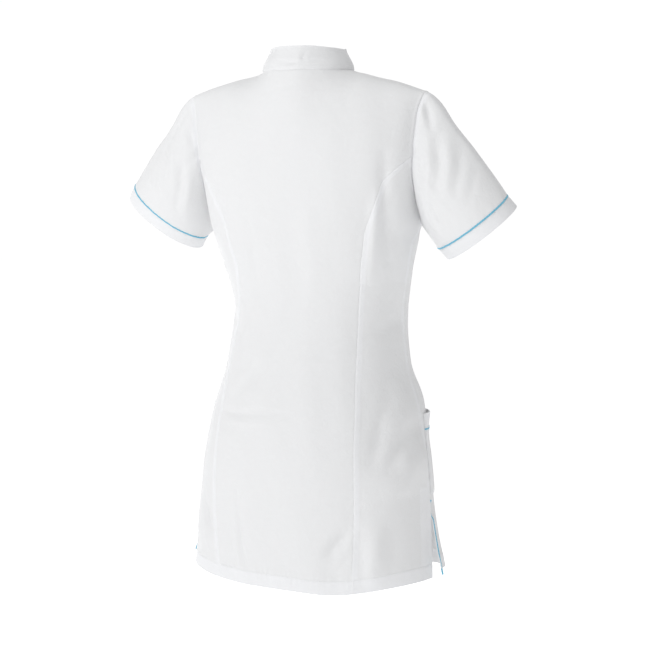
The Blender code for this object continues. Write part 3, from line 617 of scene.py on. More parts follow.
def up_to(distance, width, soft):
    """1 up to a width and 0 past it, with a smooth step across it."""
    return 1 - step_between(distance, width - soft, width + soft)


def bell(distance, width):
    """1 where the distance is 0, and about a third at one width from there."""
    return np.exp(-((distance / width) ** 2))


def unit(vector):
    vector = np.asarray(vector, float)
    return vector / np.linalg.norm(vector)


def directions(vectors):
    lengths = np.linalg.norm(vectors, axis=-1, keepdims=True)
    return vectors / np.maximum(lengths, LEAST_LENGTH)


def arc_along(line):
    steps = np.linalg.norm(np.diff(line, axis=0), axis=1)
    return np.concatenate([[0.0], np.cumsum(steps)])


def arc_shares(points):
    lengths = arc_along(np.array(points))
    return lengths / lengths[-1]


def arcs_down(grid, axis):
    """Distances along every row (axis 1) or column (axis 0) of a grid from its start."""
    steps = np.linalg.norm(np.diff(grid, axis=axis), axis=2)
    first = np.zeros_like(steps[:1] if axis == 0 else steps[:, :1])
    return np.concatenate([first, np.cumsum(steps, axis=axis)], axis=axis)


Line = namedtuple("Line", "points normals")


def points_at(places, arcs, points):
    """Points, or normals, at places along a line of them."""
    return np.stack([np.interp(places, arcs, points[:, axis]) for axis in range(3)], axis=-1)


def curved(values, knots, places):
    """Values at places on smooth curves through rows of values that lie at knots."""
    slopes = np.gradient(values, knots, axis=0)
    upper = np.clip(np.searchsorted(knots, places), 1, len(knots) - 1)
    shape = (-1,) + (1,) * (values.ndim - 1)
    step = (knots[upper] - knots[upper - 1]).reshape(shape)
    share = (places - knots[upper - 1]).reshape(shape) / step
    rise = soft_step(share)
    leave = share * (1 - share) ** 2 * step
    arrive = share * share * (share - 1) * step
    straight = values[upper - 1] * (1 - rise) + values[upper] * rise
    return straight + slopes[upper - 1] * leave + slopes[upper] * arrive


def table_curve(rows, column, places):
    """The named column of a table at places of its first column, on a smooth curve through its rows."""
    rows = sorted(rows)
    keys = np.array([row[0] for row in rows])
    values = np.array([getattr(row, column) for row in rows])
    return curved(values, keys, np.clip(places, keys[0], keys[-1]))


def smooth(rows, column, at):
    return float(table_curve(rows, column, np.array([at]))[0])


def outer_column(face, side):
    """The column of a panel at its outer edge: its last one or its first one."""
    return -1 if (face == "back") == (side == "right") else 0


def width_share(turn, roundness):
    """Share of the half-width at a turn from the side (0) to the centre (90 degrees) and past it."""
    cosine = math.cos(math.radians(turn))
    return math.copysign(abs(cosine) ** (2 / roundness), cosine)


def depth_share(turn, roundness):
    return max(0.0, math.sin(math.radians(turn))) ** (2 / roundness)


def turn_at(share, roundness):
    return math.degrees(math.acos(min(max(share, 0.0), 1.0) ** (roundness / 2)))


def hem_height(face, turn):
    rise = math.sin(math.radians(turn)) ** 2
    if face == "back":
        return HEM_BACK_SIDE_Z + (HEM_BACK_CENTRE_Z - HEM_BACK_SIDE_Z) * rise
    return HEM_FRONT_SIDE_Z + (HEM_FRONT_CENTRE_Z - HEM_FRONT_SIDE_Z) * rise


def neck_arch(face, x):
    """Share of the neckline's depth that is reached at x."""
    roundness = NECK_BACK_ROUND if face == "back" else NECK_FRONT_ROUND
    return max(0.0, 1 - (x / NECK_HALF_WIDTH) ** roundness) ** (1 / roundness)


def shoulder_y(x):
    """y of the shoulder seam, carried on level across the neck."""
    along = max(0.0, (abs(x) - NECK_HALF_WIDTH) / (SHOULDER_TIP_X - NECK_HALF_WIDTH))
    return NECK_Y + (SHOULDER_TIP_Y - NECK_Y) * along


def ridge_and_edge(face, x):
    """Heights of the dome's ridge and of the panel's upper edge, the shoulder seam or the neckline, at x.

    Inside the neck the ridge runs on from the shoulders without a bend, and the neckline cuts the dome lower.
    """
    x = abs(x)
    seam_run = SHOULDER_TIP_X - NECK_HALF_WIDTH
    if x >= NECK_HALF_WIDTH:
        along = (x - NECK_HALF_WIDTH) / seam_run
        shoulder = NECK_Z + (SHOULDER_TIP_Z - NECK_Z) * along + SHOULDER_RISE * math.sin(math.pi * along)
        return shoulder, shoulder
    slope = (NECK_Z - SHOULDER_TIP_Z - math.pi * SHOULDER_RISE) / seam_run
    run_on = slope * NECK_HALF_WIDTH / 2
    inside = 1 - (x / NECK_HALF_WIDTH) ** 2
    crown = NECK_BACK_CROWN if face == "back" else NECK_FRONT_CROWN
    ridge = NECK_Z + run_on * inside + (crown - run_on) * inside**2
    top = CHEST[-1]
    full_width = top.edge_x / width_share(top.back_turn, top.back_round)
    sheet = getattr(top, face) * depth_share(turn_at(x / full_width, top.back_round), top.back_round)
    depth, sheet = (NECK_BACK, sheet - NECK_Y) if face == "back" else (NECK_FRONT, sheet + NECK_Y)
    cut = depth * neck_arch(face, x) / sheet
    climb = (1 - cut**SHOULDER_ROUNDNESS) ** (1 / SHOULDER_ROUNDNESS)
    return ridge, UNDERARM_Z + (ridge - UNDERARM_Z) * climb


def lower_point(face, turn, drop):
    """A point below the underarm. drop runs from 0 there to 1 at the vent's top and 2 at the hem."""
    if drop <= 1:
        z = UNDERARM_Z + (VENT_TOP_Z - UNDERARM_Z) * drop
    else:
        z = VENT_TOP_Z + (hem_height(face, turn) - VENT_TOP_Z) * (drop - 1)
    roundness = smooth(SECTIONS, face + "_round", z)
    half_width = smooth(SECTIONS, "half_width", z)
    side_y = smooth(SECTIONS, "side_y", z)
    depth = smooth(SECTIONS, face, z)
    x = half_width * width_share(turn, roundness)
    reach = depth * depth_share(turn, roundness)
    if face == "back":
        return np.array((x, side_y + reach, z))
    flare = VENT_FLARE * max(0.0, drop - 1) ** VENT_FLARE_POWER * ease(1 - turn / VENT_FLARE_TURN)
    return np.array((x + flare, side_y - reach, z))


def upper_point(face, turn, level):
    """A point above the underarm, on a dome that rounds over to its ridge along the shoulders."""
    roundness = smooth(CHEST, face + "_round", level)
    edge_turn = smooth(CHEST, face + "_turn", level)
    x = smooth(CHEST, "edge_x", level) * width_share(turn, roundness) / width_share(edge_turn, roundness)
    top = CHEST[-1]
    top_turn = 90 - (90 - turn) * (90 - top.back_turn) / (90 - edge_turn)
    top_x = top.edge_x * width_share(top_turn, top.back_round) / width_share(top.back_turn, top.back_round)
    ridge_y = shoulder_y(top_x)
    ridge_z, edge_z = ridge_and_edge(face, top_x)
    z = UNDERARM_Z + (edge_z - UNDERARM_Z) * level
    climb = (z - UNDERARM_Z) / (ridge_z - UNDERARM_Z)
    outward = 1 if face == "back" else -1
    reach = outward * smooth(CHEST, face, level) * depth_share(turn, roundness)
    sheet_y = smooth(CHEST, "side_y", level) + reach
    rounding = max(0.0, 1 - climb**SHOULDER_ROUNDNESS) ** (1 / SHOULDER_ROUNDNESS)
    return np.array((x, ridge_y + (sheet_y - ridge_y) * rounding, z))


def row_point(face, turn, row):
    """row is negative below the underarm and a chest level above it."""
    return lower_point(face, turn, -row) if row <= 0 else upper_point(face, turn, row)


def all_rows():
    lower = [-1 - (k / ROWS_TO_HEM) for k in range(ROWS_TO_HEM, 0, -1)]
    middle = [-k / ROWS_TO_VENT for k in range(ROWS_TO_VENT, 0, -1)]
    return lower + middle + [0.0] + list(CHEST_LEVELS)


def row_edge_turn(face, row):
    return 0.0 if row <= 0 else smooth(CHEST, face + "_turn", row)


def row_seam_turn(face, side, row):
    """Turn of the princess seam in a row. Past the seam's top it is the armhole's edge."""
    seam = "front" if face == "front" else f"back_{side}"
    if row >= SEAM_TOP_LEVEL:
        return row_edge_turn(face, row)
    if row > 0:
        roundness = smooth(CHEST, face + "_round", row)
        edge_share = width_share(row_edge_turn(face, row), roundness)
        full_width = smooth(CHEST, "edge_x", row) / edge_share
        return turn_at(smooth(SEAM_TOPS, seam, row) / full_width, roundness)
    z = lower_point(face, USUAL_SEAM_TURN, -row)[2]
    roundness = smooth(SECTIONS, face + "_round", z)
    return turn_at(smooth(SEAMS, seam, z) / smooth(SECTIONS, "half_width", z), roundness)


def centre_shares():
    """Column shares from the centre line (0) to the armhole (1), with one column at the neck point."""
    roundness = CHEST[-1].back_round
    edge_turn = CHEST[-1].back_turn
    full_width = SHOULDER_TIP_X / width_share(edge_turn, roundness)
    shares = []
    for k in range(NECK_COLUMNS + 1):
        x = NECK_HALF_WIDTH * math.sin(math.radians(90 * k / NECK_COLUMNS))
        shares.append((90 - turn_at(x / full_width, roundness)) / (90 - edge_turn))
    neck_share = shares[-1]
    for k in range(1, SHOULDER_COLUMNS + 1):
        shares.append(neck_share + (1 - neck_share) * k / SHOULDER_COLUMNS)
    return shares


def relaxed(grid):
    """Evens out the surface near the neck points, where the shoulders pass into the neck."""
    levels = np.array(all_rows())[1:-1, None]
    high = np.sqrt(np.clip((levels - RELAX_LEVEL) / (1 - RELAX_LEVEL), 0, 1))
    result = grid.copy()
    for _ in range(RELAX_ROUNDS):
        inner = result[1:-1, 1:-1]
        mean = (result[:-2, 1:-1] + result[2:, 1:-1] + result[1:-1, :-2] + result[1:-1, 2:]) / 4
        share = bell(inner[..., 0] - NECK_HALF_WIDTH, RELAX_WIDTH) * high
        result[1:-1, 1:-1] += (mean - inner) * share[..., None]
    return result


def centre_turns(face, side, row):
    """Turns of a centre panel's columns in a row, from its outer edge to the centre line."""
    seam_turn = row_seam_turn(face, side, row)
    return [90 - (90 - seam_turn) * share for share in reversed(centre_shares())]


def side_turns(face, side, row):
    """Turns of a side panel's columns in a row, from its princess seam to the side seam or armhole."""
    seam_turn = row_seam_turn(face, side, row)
    edge_turn = row_edge_turn(face, row)
    return [seam_turn + (edge_turn - seam_turn) * k / SIDE_COLUMNS for k in range(SIDE_COLUMNS + 1)]


def panel_grid(face, part, side):
    """A side panel, or the outer half of a centre panel, as if on the left."""
    centre = part == "centre"
    turns_of = centre_turns if centre else side_turns
    rows = [row for row in all_rows() if centre or row <= SEAM_TOP_LEVEL]
    grid = np.array([[row_point(face, turn, row) for turn in turns_of(face, side, row)] for row in rows])
    return eased_at_underarm(relaxed(grid) if centre else grid, turns_of(face, side, 0.0))


def eased_at_underarm(grid, turns):
    """Evens out the bend between the rows below and above the underarm, away from the side seam."""
    weights = np.array([ease(turn / UNDERARM_FADE_TURN) for turn in turns])[:, None]
    result = grid.copy()
    underarm_row = all_rows().index(0.0)
    for _ in range(UNDERARM_ROUNDS):
        for row in range(underarm_row - UNDERARM_ROWS_BELOW, underarm_row + UNDERARM_ROWS_ABOVE + 1):
            below, own, above = result[row - 1], result[row], result[row + 1]
            share = ((own[:, 2] - below[:, 2]) / (above[:, 2] - below[:, 2]))[:, None]
            straight = below[:, :2] * (1 - share) + above[:, :2] * share
            result[row, :, :2] += (straight - own[:, :2]) * weights
    return result


def with_lap(half):
    """A front that runs past the centre line by the lap, on the same surface as the other front."""
    share = LAP / half[:, -2:-1, :1]
    beyond = half[:, -1:] + (half[:, -2:-1] - half[:, -1:]) * share
    return np.concatenate([half, beyond * MIRROR], axis=1)


def mirrored(grid):
    """The grid on the wearer's other side, with its columns turned round so that it still faces out."""
    return grid[:, ::-1] * MIRROR


def shape_bust(grid):
    """Raises the fullness over the bust, which the front princess seams cross."""
    shaped = grid.copy()
    across = bell(np.abs(grid[..., 0]) - BUST_X, BUST_WIDTH)
    shaped[..., 1] -= BUST_RISE * across * bell(grid[..., 2] - BUST_Z, BUST_HEIGHT)
    return shaped


def grid_normals(grid, closed=False):
    """Outward unit normals of a grid whose rows go up and whose columns run anticlockwise from above."""
    up = np.gradient(grid, axis=0)
    if closed:
        across = np.roll(grid, -1, axis=1) - np.roll(grid, 1, axis=1)
    else:
        across = np.gradient(grid, axis=1)
    normals = np.cross(across, up)
    lengths = np.linalg.norm(normals, axis=2, keepdims=True)
    thin = lengths[..., 0] < LEAST_LENGTH
    normals = normals / np.maximum(lengths, LEAST_LENGTH)
    for row, column in zip(*np.nonzero(thin)):
        normals[row, column] = normals[row - 1, column]
    return normals


def distance_to_line(x, z, line):
    """Distance of places from a line of (x, z), and their share of the way along it."""
    best = np.full(x.shape, np.inf)
    along_best = np.zeros(x.shape)
    lengths = arc_along(line)
    for k, ((x0, z0), (x1, z1)) in enumerate(zip(line[:-1], line[1:])):
        dx, dz = x1 - x0, z1 - z0
        share = np.clip(((x - x0) * dx + (z - z0) * dz) / (dx * dx + dz * dz), 0, 1)
        distance = np.hypot(x - x0 - share * dx, z - z0 - share * dz)
        nearer = distance < best
        best = np.where(nearer, distance, best)
        along = (lengths[k] + share * (lengths[k + 1] - lengths[k])) / lengths[-1]
        along_best = np.where(nearer, along, along_best)
    return best, along_best


def line_lift(grid, lines, end_share, cut_off):
    """Lift of the cloth along folds or creases, which fade to a share of their depth at the ends."""
    x, z = grid[..., 0], grid[..., 2]
    total = np.zeros(x.shape)
    for depth, width, *line in lines:
        distance, along = distance_to_line(x, z, np.array(line) / MILLIMETRES)
        fade = end_share + (1 - end_share) * np.sin(math.pi * (along * (1 - 2 * cut_off) + cut_off))
        total += depth / MILLIMETRES * fade * bell(distance, width / MILLIMETRES)
    return total


def folded(face, grid):
    lift = line_lift(grid, FOLDS[face], FOLD_END_SHARE, 0.0)
    return grid + grid_normals(grid) * lift[..., None]


def lapped_under(grid):
    """The under front, drawn in by one layer where the other front lies over it."""
    depth = UNDERLAP_DEPTH * step_between(grid[..., 0], UNDERLAP_START, UNDERLAP_FULL)
    return grid - grid_normals(grid) * depth[..., None]


def settled(grid):
    """The grid as it hangs: the left shoulder a little up, and the hem a little down to the right."""
    x, z = grid[..., 0], grid[..., 2]
    outward = step_between(x, NECK_HALF_WIDTH, SHOULDER_TIP_X)
    up = step_between(z, UNDERARM_Z, SHOULDER_TIP_Z)
    down = step_between(z, VENT_TOP_Z, HEM_BACK_SIDE_Z)
    result = grid.copy()
    result[..., 2] += LEFT_SHOULDER_RISE * outward * up + HEM_TILT * x * down
    return result


def torso_grids():
    """Every torso panel by name. Seams share their points, so folds are the same on both sides of one."""
    front_left = with_lap(panel_grid("front", "centre", "left"))[:, ::-1]
    front_side = panel_grid("front", "side", "left")
    back_right = mirrored(panel_grid("back", "centre", "right"))[:, 1:]
    plain = {
        "back_centre": np.concatenate([panel_grid("back", "centre", "left"), back_right], axis=1),
        "back_side_left": panel_grid("back", "side", "left")[:, ::-1],
        "back_side_right": mirrored(panel_grid("back", "side", "right")[:, ::-1]),
        "front_centre_left": shape_bust(front_left),
        "front_centre_right": shape_bust(mirrored(front_left)),
        "front_side_left": shape_bust(front_side),
        "front_side_right": shape_bust(mirrored(front_side)),
    }
    grids = {name: settled(folded(name.split("_")[0], grid)) for name, grid in plain.items()}
    grids["front_centre_left"] = lapped_under(grids["front_centre_left"])
    return grids


def armhole_edge(torso, face, side):
    """Points of the armhole on one face, from the underarm up, drawn from the panels' own edges."""
    outer = outer_column(face, side)
    centre = torso.grids["back_centre"] if face == "back" else torso.grids[f"front_centre_{side}"]
    side_panel = torso.grids[f"{face}_side_{side}"]
    return np.concatenate([side_panel[torso.underarm :, outer], centre[side_panel.shape[0] :, outer]])


def armhole_ring(torso, side):
    """The armhole from the underarm up the back to the shoulder, and the rest of it down the front."""
    flip = MIRROR if side == "right" else 1.0
    back = armhole_edge(torso, "back", side) * flip
    front = armhole_edge(torso, "front", side)[::-1][1:-1] * flip
    return list(back), list(front)


def cuff_axes(cuff):
    """The ways out and back from the middle of the cuff, at right angles to each other."""
    out = unit(cuff.out)
    return out, unit(np.cross(out, unit(cuff.arm)))


def cuff_ring(cuff, turns, rise):
    """Points round the cuff, raised along the arm by rise. A turn of 0 is its outer side and 90 its back."""
    out, back = cuff_axes(cuff)
    angles = np.radians(turns)[:, None]
    spokes = cuff.half_height * np.cos(angles) * out + cuff.half_depth * np.sin(angles) * back
    return np.array(cuff.centre) + spokes - unit(cuff.arm) * rise


def pocket_stand_off(column, z):
    """How far a column of the pocket stands off its panel at a height."""
    depth = (POCKET_TOP_Z - z) / (POCKET_TOP_Z - POCKET_BOTTOM_Z)
    return column.lip * (1 - ease(depth / POCKET_LIP_DEPTH)) + column.pouch * (1 - ease(depth))


def pocket_grid(side_panel, left, top_z, foot_z):
    """Part of a pocket between two heights, on the front side panel's points, moved out."""
    rows = side_panel[:, 0, 2]
    between = rows[(rows > foot_z + POCKET_ROW_SPACE) & (rows < top_z - POCKET_ROW_SPACE)]
    panel = side_panel[rows < UNDERARM_Z]
    normals = grid_normals(side_panel)[rows < UNDERARM_Z]
    grid = []
    for z in [foot_z, *between, top_z]:
        row = []
        for column in reversed(POCKET_COLUMNS) if left else POCKET_COLUMNS:
            place = (1 - column.across if left else column.across) * (panel.shape[1] - 1)
            beside = min(int(place), panel.shape[1] - 2)
            weight = place - beside
            line = panel[:, beside] * (1 - weight) + panel[:, beside + 1] * weight
            ways = normals[:, beside] * (1 - weight) + normals[:, beside + 1] * weight
            normal = unit(points_at(z, line[:, 2], ways))
            stand_off = LAYER + POCKET_CLEARANCE + pocket_stand_off(column, z)
            row.append(points_at(z, line[:, 2], line) + normal * stand_off)
        grid.append(row)
    return np.array(grid)


def key_of(point):
    return tuple(np.round(np.asarray(point) * KEY_STEPS).astype(int))


def close_places(length, dense, step, fixed=()):
    """Places from 0 to length: the fixed ones, close ones beside each dense one, and even ones between."""
    chosen = sorted({0.0, length, *fixed})
    for place in dense:
        for offset in (0.0, *EDGE_OFFSETS):
            for candidate in (place - offset, place + offset):
                clear = min(abs(candidate - other) for other in chosen) > LEAST_STEP
                if 0 < candidate < length and clear:
                    chosen.append(candidate)
    chosen.sort()
    places = [chosen[0]]
    for place in chosen[1:]:
        start = places[-1]
        gap = place - start
        parts = max(1, round(gap / step))
        places += [start + gap * k / parts for k in range(1, parts + 1)]
    return np.array(places)


def refined(grid, row_knots, row_places, column_spots):
    """A finer grid on the same surface. column_spots are places between the coarse columns' indices."""
    tall = curved(grid, row_knots, row_places)
    column_knots = arc_along(grid.mean(axis=0))
    column_places = np.interp(column_spots, np.arange(grid.shape[1]), column_knots)
    return curved(tall.swapaxes(0, 1), column_knots, column_places).swapaxes(0, 1)


FineTorso = namedtuple("FineTorso", "grids underarm seam_top vent_top neck lap coarse")


def fine_torso():
    """The torso panels on finer grids that still share their seams' points."""
    coarse = torso_grids()
    rows = all_rows()
    knots = arc_along(coarse["back_centre"][:, 0])
    underarm_at = knots[rows.index(0.0)]
    seam_top_at = knots[rows.index(SEAM_TOP_LEVEL)]
    vent_top_at = knots[ROWS_TO_HEM]
    fixed = (vent_top_at, underarm_at, seam_top_at)
    row_places = close_places(knots[-1], (0.0, HEM_DEPTH, knots[-1]), FINE_STEP, fixed)
    side_rows = row_places[row_places <= seam_top_at + LEAST_LENGTH]
    tall = len(side_rows)
    underarm = int(np.argmin(np.abs(row_places - underarm_at)))
    vent_top = int(np.argmin(np.abs(row_places - vent_top_at)))

    half = coarse["back_centre"][:, : NECK_COLUMNS + SHOULDER_COLUMNS + 1]
    half_knots = arc_along(half.mean(axis=0))
    neck_at = half_knots[SHOULDER_COLUMNS]
    half_places = close_places(half_knots[-1], (0.0,), FINE_STEP, (neck_at,))
    half_spots = np.interp(half_places, half_knots, np.arange(len(half_knots)))
    neck = int(np.sum(half_places > neck_at + LEAST_LENGTH))
    last_half = len(half_knots) - 1
    lap_places = close_places(LAP, (LAP,), FINE_STEP)[1:] / LAP
    front_spots = np.concatenate([half_spots, last_half + lap_places])
    side_knots = arc_along(coarse["back_side_left"].mean(axis=0))
    side_places = close_places(side_knots[-1], (0.0, side_knots[-1]), FINE_STEP)
    side_spots = np.interp(side_places, side_knots, np.arange(len(side_knots)))
    spots = {
        "back_centre": np.concatenate([half_spots, 2 * last_half - half_spots[::-1][1:]]),
        "front_centre_right": front_spots,
        "front_centre_left": last_half + 1 - front_spots[::-1],
    }
    grids = {}
    for name, grid in coarse.items():
        places = row_places if "centre" in name else side_rows
        grids[name] = refined(grid, knots[: len(grid)], places, spots.get(name, side_spots))

    seam = slice(vent_top, underarm + 1)
    shoulder = len(half_places) - neck
    back = grids["back_centre"]
    for side in SIDES:
        outer = {face: outer_column(face, side) for face in ("back", "front")}
        for face, centre in (("back", back), ("front", grids[f"front_centre_{side}"])):
            grids[f"{face}_side_{side}"][:, -1 - outer[face]] = centre[:tall, outer[face]]
        side_seam = grids[f"back_side_{side}"][seam, outer["back"]]
        grids[f"front_side_{side}"][seam, outer["front"]] = side_seam
    grids["front_centre_left"][-1, -shoulder:] = back[-1, :shoulder][::-1]
    grids["front_centre_right"][-1, :shoulder] = back[-1, -shoulder:][::-1]
    return FineTorso(grids, underarm, tall - 1, vent_top, neck, len(lap_places), coarse)


def eased(points):
    """The same points, hung out a little at the sides and at the hem's lower edge behind."""
    places = points.reshape(-1, 3).copy()
    x, y, z = places.T.copy()
    hang = np.where(x > 0, table_curve(EASES, "left", z), -table_curve(EASES, "right", z))
    places[:, 0] += hang * soft_step(np.clip(np.abs(x) / EASE_FULL_X, 0, 1))
    low = step_between(z, HEM_DROP_START_Z, HEM_BACK_CENTRE_Z) * step_between(y, 0.0, HEM_DROP_FULL_Y)
    places[:, 2] -= HEM_DROP * low * bell(places[:, 0] - HEM_DROP_X, HEM_DROP_WIDTH)
    return places.reshape(points.shape)


def smooth_at_chest(grid):
    """Evens out the bend at the level of the underarms, as seen along every column."""
    result = grid.copy()
    x, z = grid[1:-1, :, 0], grid[1:-1, :, 2]
    weight = bell(z - CHEST_SMOOTH_Z, CHEST_SMOOTH_HEIGHT)
    weight *= step_between(np.abs(x), CHEST_SMOOTH_OUTER, CHEST_SMOOTH_INNER)
    share = np.clip((z - grid[:-2, :, 2]) / (grid[2:, :, 2] - grid[:-2, :, 2] + LEAST_LENGTH), 0, 1)
    for _ in range(CHEST_ROUNDS):
        straight = result[:-2, :, 1] * (1 - share) + result[2:, :, 1] * share
        result[1:-1, :, 1] += (straight - result[1:-1, :, 1]) * weight
    return result


def smooth_at_neck(torso):
    """Evens out the cloth beside the neck points, over the shoulder seam from back to front."""
    grids = dict(torso.grids)
    columns = (grids["back_centre"].shape[1] + 1) // 2
    shoulder = columns - torso.neck
    top = grids["back_centre"].shape[0] - 1
    for side in SIDES:
        back = grids["back_centre"] if side == "left" else grids["back_centre"][:, ::-1]
        front = grids[f"front_centre_{side}"]
        front = front[:, ::-1] if side == "left" else front
        sheet = np.concatenate([back[:, :columns], front[::-1, :columns][1:]])
        weight = bell(np.abs(sheet[..., 0]) - NECK_HALF_WIDTH, NECK_SMOOTH_WIDTH)
        weight *= step_between(sheet[..., 2], NECK_SMOOTH_LOW, NECK_SMOOTH_HIGH)
        weight[top, shoulder - 1 :] = 0
        weight = weight[1:-1, 1:-1, None]
        front_neck = front[top, shoulder : columns - 1].copy()
        for _ in range(NECK_ROUNDS):
            above = sheet[:-2, 1:-1].copy()
            above[top, shoulder - 1 :] = front_neck
            mean = (above + sheet[2:, 1:-1] + sheet[1:-1, :-2] + sheet[1:-1, 2:]) / 4
            sheet[1:-1, 1:-1] += (mean - sheet[1:-1, 1:-1]) * weight
        back[:, : columns - 1] = sheet[: top + 1, : columns - 1]
        front[:top, : columns - 1] = sheet[top + 1 :][::-1][:, : columns - 1]
        front[top, :shoulder] = sheet[top, :shoulder]
    return torso._replace(grids=grids)


def eased_torso(torso):
    grids = {name: smooth_at_chest(grid) for name, grid in torso.grids.items()}
    torso = smooth_at_neck(torso._replace(grids=grids))
    grids = {name: eased(grid) for name, grid in torso.grids.items()}
    coarse = {name: eased(grid) for name, grid in torso.coarse.items()}
    return torso._replace(grids=grids, coarse=coarse)


def fine_sleeve(cuff, torso):
    """The sleeve from armhole to piping and its band from piping to cuff, both as on the left side."""
    back, front = armhole_ring(torso, cuff.side)
    start = np.array(back + front)
    front_shares = arc_shares([back[-1], *front, back[0]])[1:-1]
    turns = np.concatenate([180 - 180 * arc_shares(back), -180 * front_shares])
    end = cuff_ring(cuff, turns, SLEEVE_BAND)
    out, backward = cuff_axes(cuff)
    angles = np.radians(turns)
    top = np.maximum(0.0, np.cos(angles))
    fullness = SLEEVE_FULLNESS_TOP * top + SLEEVE_FULLNESS_BACK * np.sin(angles) ** 2
    spokes = np.cos(angles)[:, None] * out + np.sin(angles)[:, None] * backward
    length = float(np.linalg.norm(end - start, axis=1).mean())
    rows = []
    for share in close_places(length, (0.0, length), FINE_STEP) / length:
        puff = CAP_PUFF * top**2 * bell(share - CAP_PUFF_AT, CAP_PUFF_AT) * (share > 0)
        lift = 4 * share * (1 - share) * fullness + puff
        rows.append(start + (end - start) * share + spokes * lift[:, None])
    band_rows = close_places(SLEEVE_BAND, (0.0, SLEEVE_BAND), FINE_STEP) / SLEEVE_BAND
    cuff_end = cuff_ring(cuff, turns, 0.0)
    return np.array(rows), np.array([end + (cuff_end - end) * share for share in band_rows])


def collar_end(last, beyond):
    """The collar's end, between the last point that it keeps of a front's edge and the edge's end."""
    return last + (beyond - last) * (abs(last[0]) - COLLAR_END_X) / abs(last[0] - beyond[0])


def fine_collar(torso):
    """The stand collar, from the left front end round the back to the right one."""
    neck, lap = torso.neck, torso.lap
    back_panel = torso.grids["back_centre"]
    middle = back_panel.shape[1] // 2
    back_edge = back_panel[-1, middle - neck : middle + neck + 1]
    left_edge = torso.grids["front_centre_left"][-1, lap : lap + neck + 1]
    right_edge = torso.grids["front_centre_right"][-1, -neck - lap - 1 : -lap or None]
    left = left_edge[left_edge[:, 0] > COLLAR_END_X + LEAST_STEP]
    right = right_edge[-right_edge[:, 0] > COLLAR_END_X + LEAST_STEP]
    start, end = collar_end(left[0], left_edge[0]), collar_end(right[-1], right_edge[-1])
    base = np.array([start, *left[:-1], *back_edge, *right[1:], end])
    frontness = np.maximum(0.0, (NECK_Y - base[:, 1]) / NECK_FRONT)
    backness = np.maximum(0.0, (base[:, 1] - NECK_Y) / NECK_BACK)
    height = COLLAR_SIDE_HEIGHT + (COLLAR_HEIGHT - COLLAR_SIDE_HEIGHT) * np.maximum(backness**2, frontness)
    around = arc_along(base)
    round_length = torso.coarse["front_centre_left"][-1, COLLAR_ROUND_COLUMN, 0]
    from_end = np.minimum(around, around[-1] - around)
    end_share = np.sqrt(1 - (1 - np.clip(from_end / round_length, 0.0, 1.0)) ** 2)
    height = height * (COLLAR_END_SHARE + (1 - COLLAR_END_SHARE) * end_share)
    foot = np.array((0.0, NECK_Y, 0.0))
    rows = []
    for share in close_places(COLLAR_HEIGHT, (0.0, COLLAR_HEIGHT), COLLAR_STEP) / COLLAR_HEIGHT:
        lean = 1 + (COLLAR_LEAN - 1) * ease(share)
        row = foot + (base - foot) * (lean, lean, 1.0)
        row[:, 2] += height * share
        rows.append(row)
    return np.array(rows)


def fine_pocket(pouch, band):
    """Finer grids of a pocket's pouch and band, which share their seam's points."""
    coarse = np.concatenate([pouch, band[1:]])
    row_knots = arc_along(coarse.mean(axis=1))
    column_knots = arc_along(coarse.mean(axis=0))
    seam_at = row_knots[pouch.shape[0] - 1]
    rows = close_places(row_knots[-1], (0.0, seam_at, row_knots[-1]), FINE_STEP, (seam_at,))
    columns = close_places(column_knots[-1], (0.0, column_knots[-1]), FINE_STEP)
    spots = np.interp(columns, column_knots, np.arange(len(column_knots)))
    fine = refined(coarse, row_knots, rows, spots)
    seam = int(np.argmin(np.abs(rows - seam_at)))
    return fine[: seam + 1], fine[seam:]


def drift(points):
    """Slow and fine waves of the cloth, the same function of place on every panel."""
    total = np.zeros(points.shape[:-1])
    for layer in DRIFTS:
        chance = np.random.default_rng(layer.seed)
        lengths = np.array((layer.length_x, layer.length_y, layer.length_z))
        for _ in range(layer.count):
            way = unit(chance.normal(size=3)) / lengths
            phase = chance.uniform(0, 2 * math.pi)
            total += np.sin(points @ way * 2 * math.pi + phase) * layer.amplitude / math.sqrt(layer.count / 2)
    return total


def crease_lift(grid, lines):
    return line_lift(grid, lines, CREASE_END_SHARE, CREASE_CUT_OFF) * CREASE_DEPTH


def pucker(distance, along):
    """Small waves that a row of stitches pulls into the cloth beside it."""
    slow = PUCKER_DRIFT * np.sin(along * 2 * math.pi / PUCKER_DRIFT_LENGTH)
    return PUCKER * np.sin(along * 2 * math.pi / PUCKER_LENGTH + slow) * bell(distance, PUCKER_REACH)


def groove(distance):
    return -SEAM_GROOVE * bell(distance, SEAM_GROOVE_WIDTH)


def sink(distance):
    return -STITCH_SINK * bell(distance, STITCH_SINK_WIDTH)


def armhole_ridge(distance):
    return ARMHOLE_RIDGE * bell(distance - ARMHOLE_RIDGE_AT, ARMHOLE_RIDGE_WIDTH)


def vent_tuck(below):
    """How far a vent's front edge lies in under its back edge, by the distance below the vent's top."""
    return VENT_TUCK * step_between(below, *VENT_TUCK_START) * within(below, VENT_TUCK_LENGTH, VENT_TUCK_FADE)


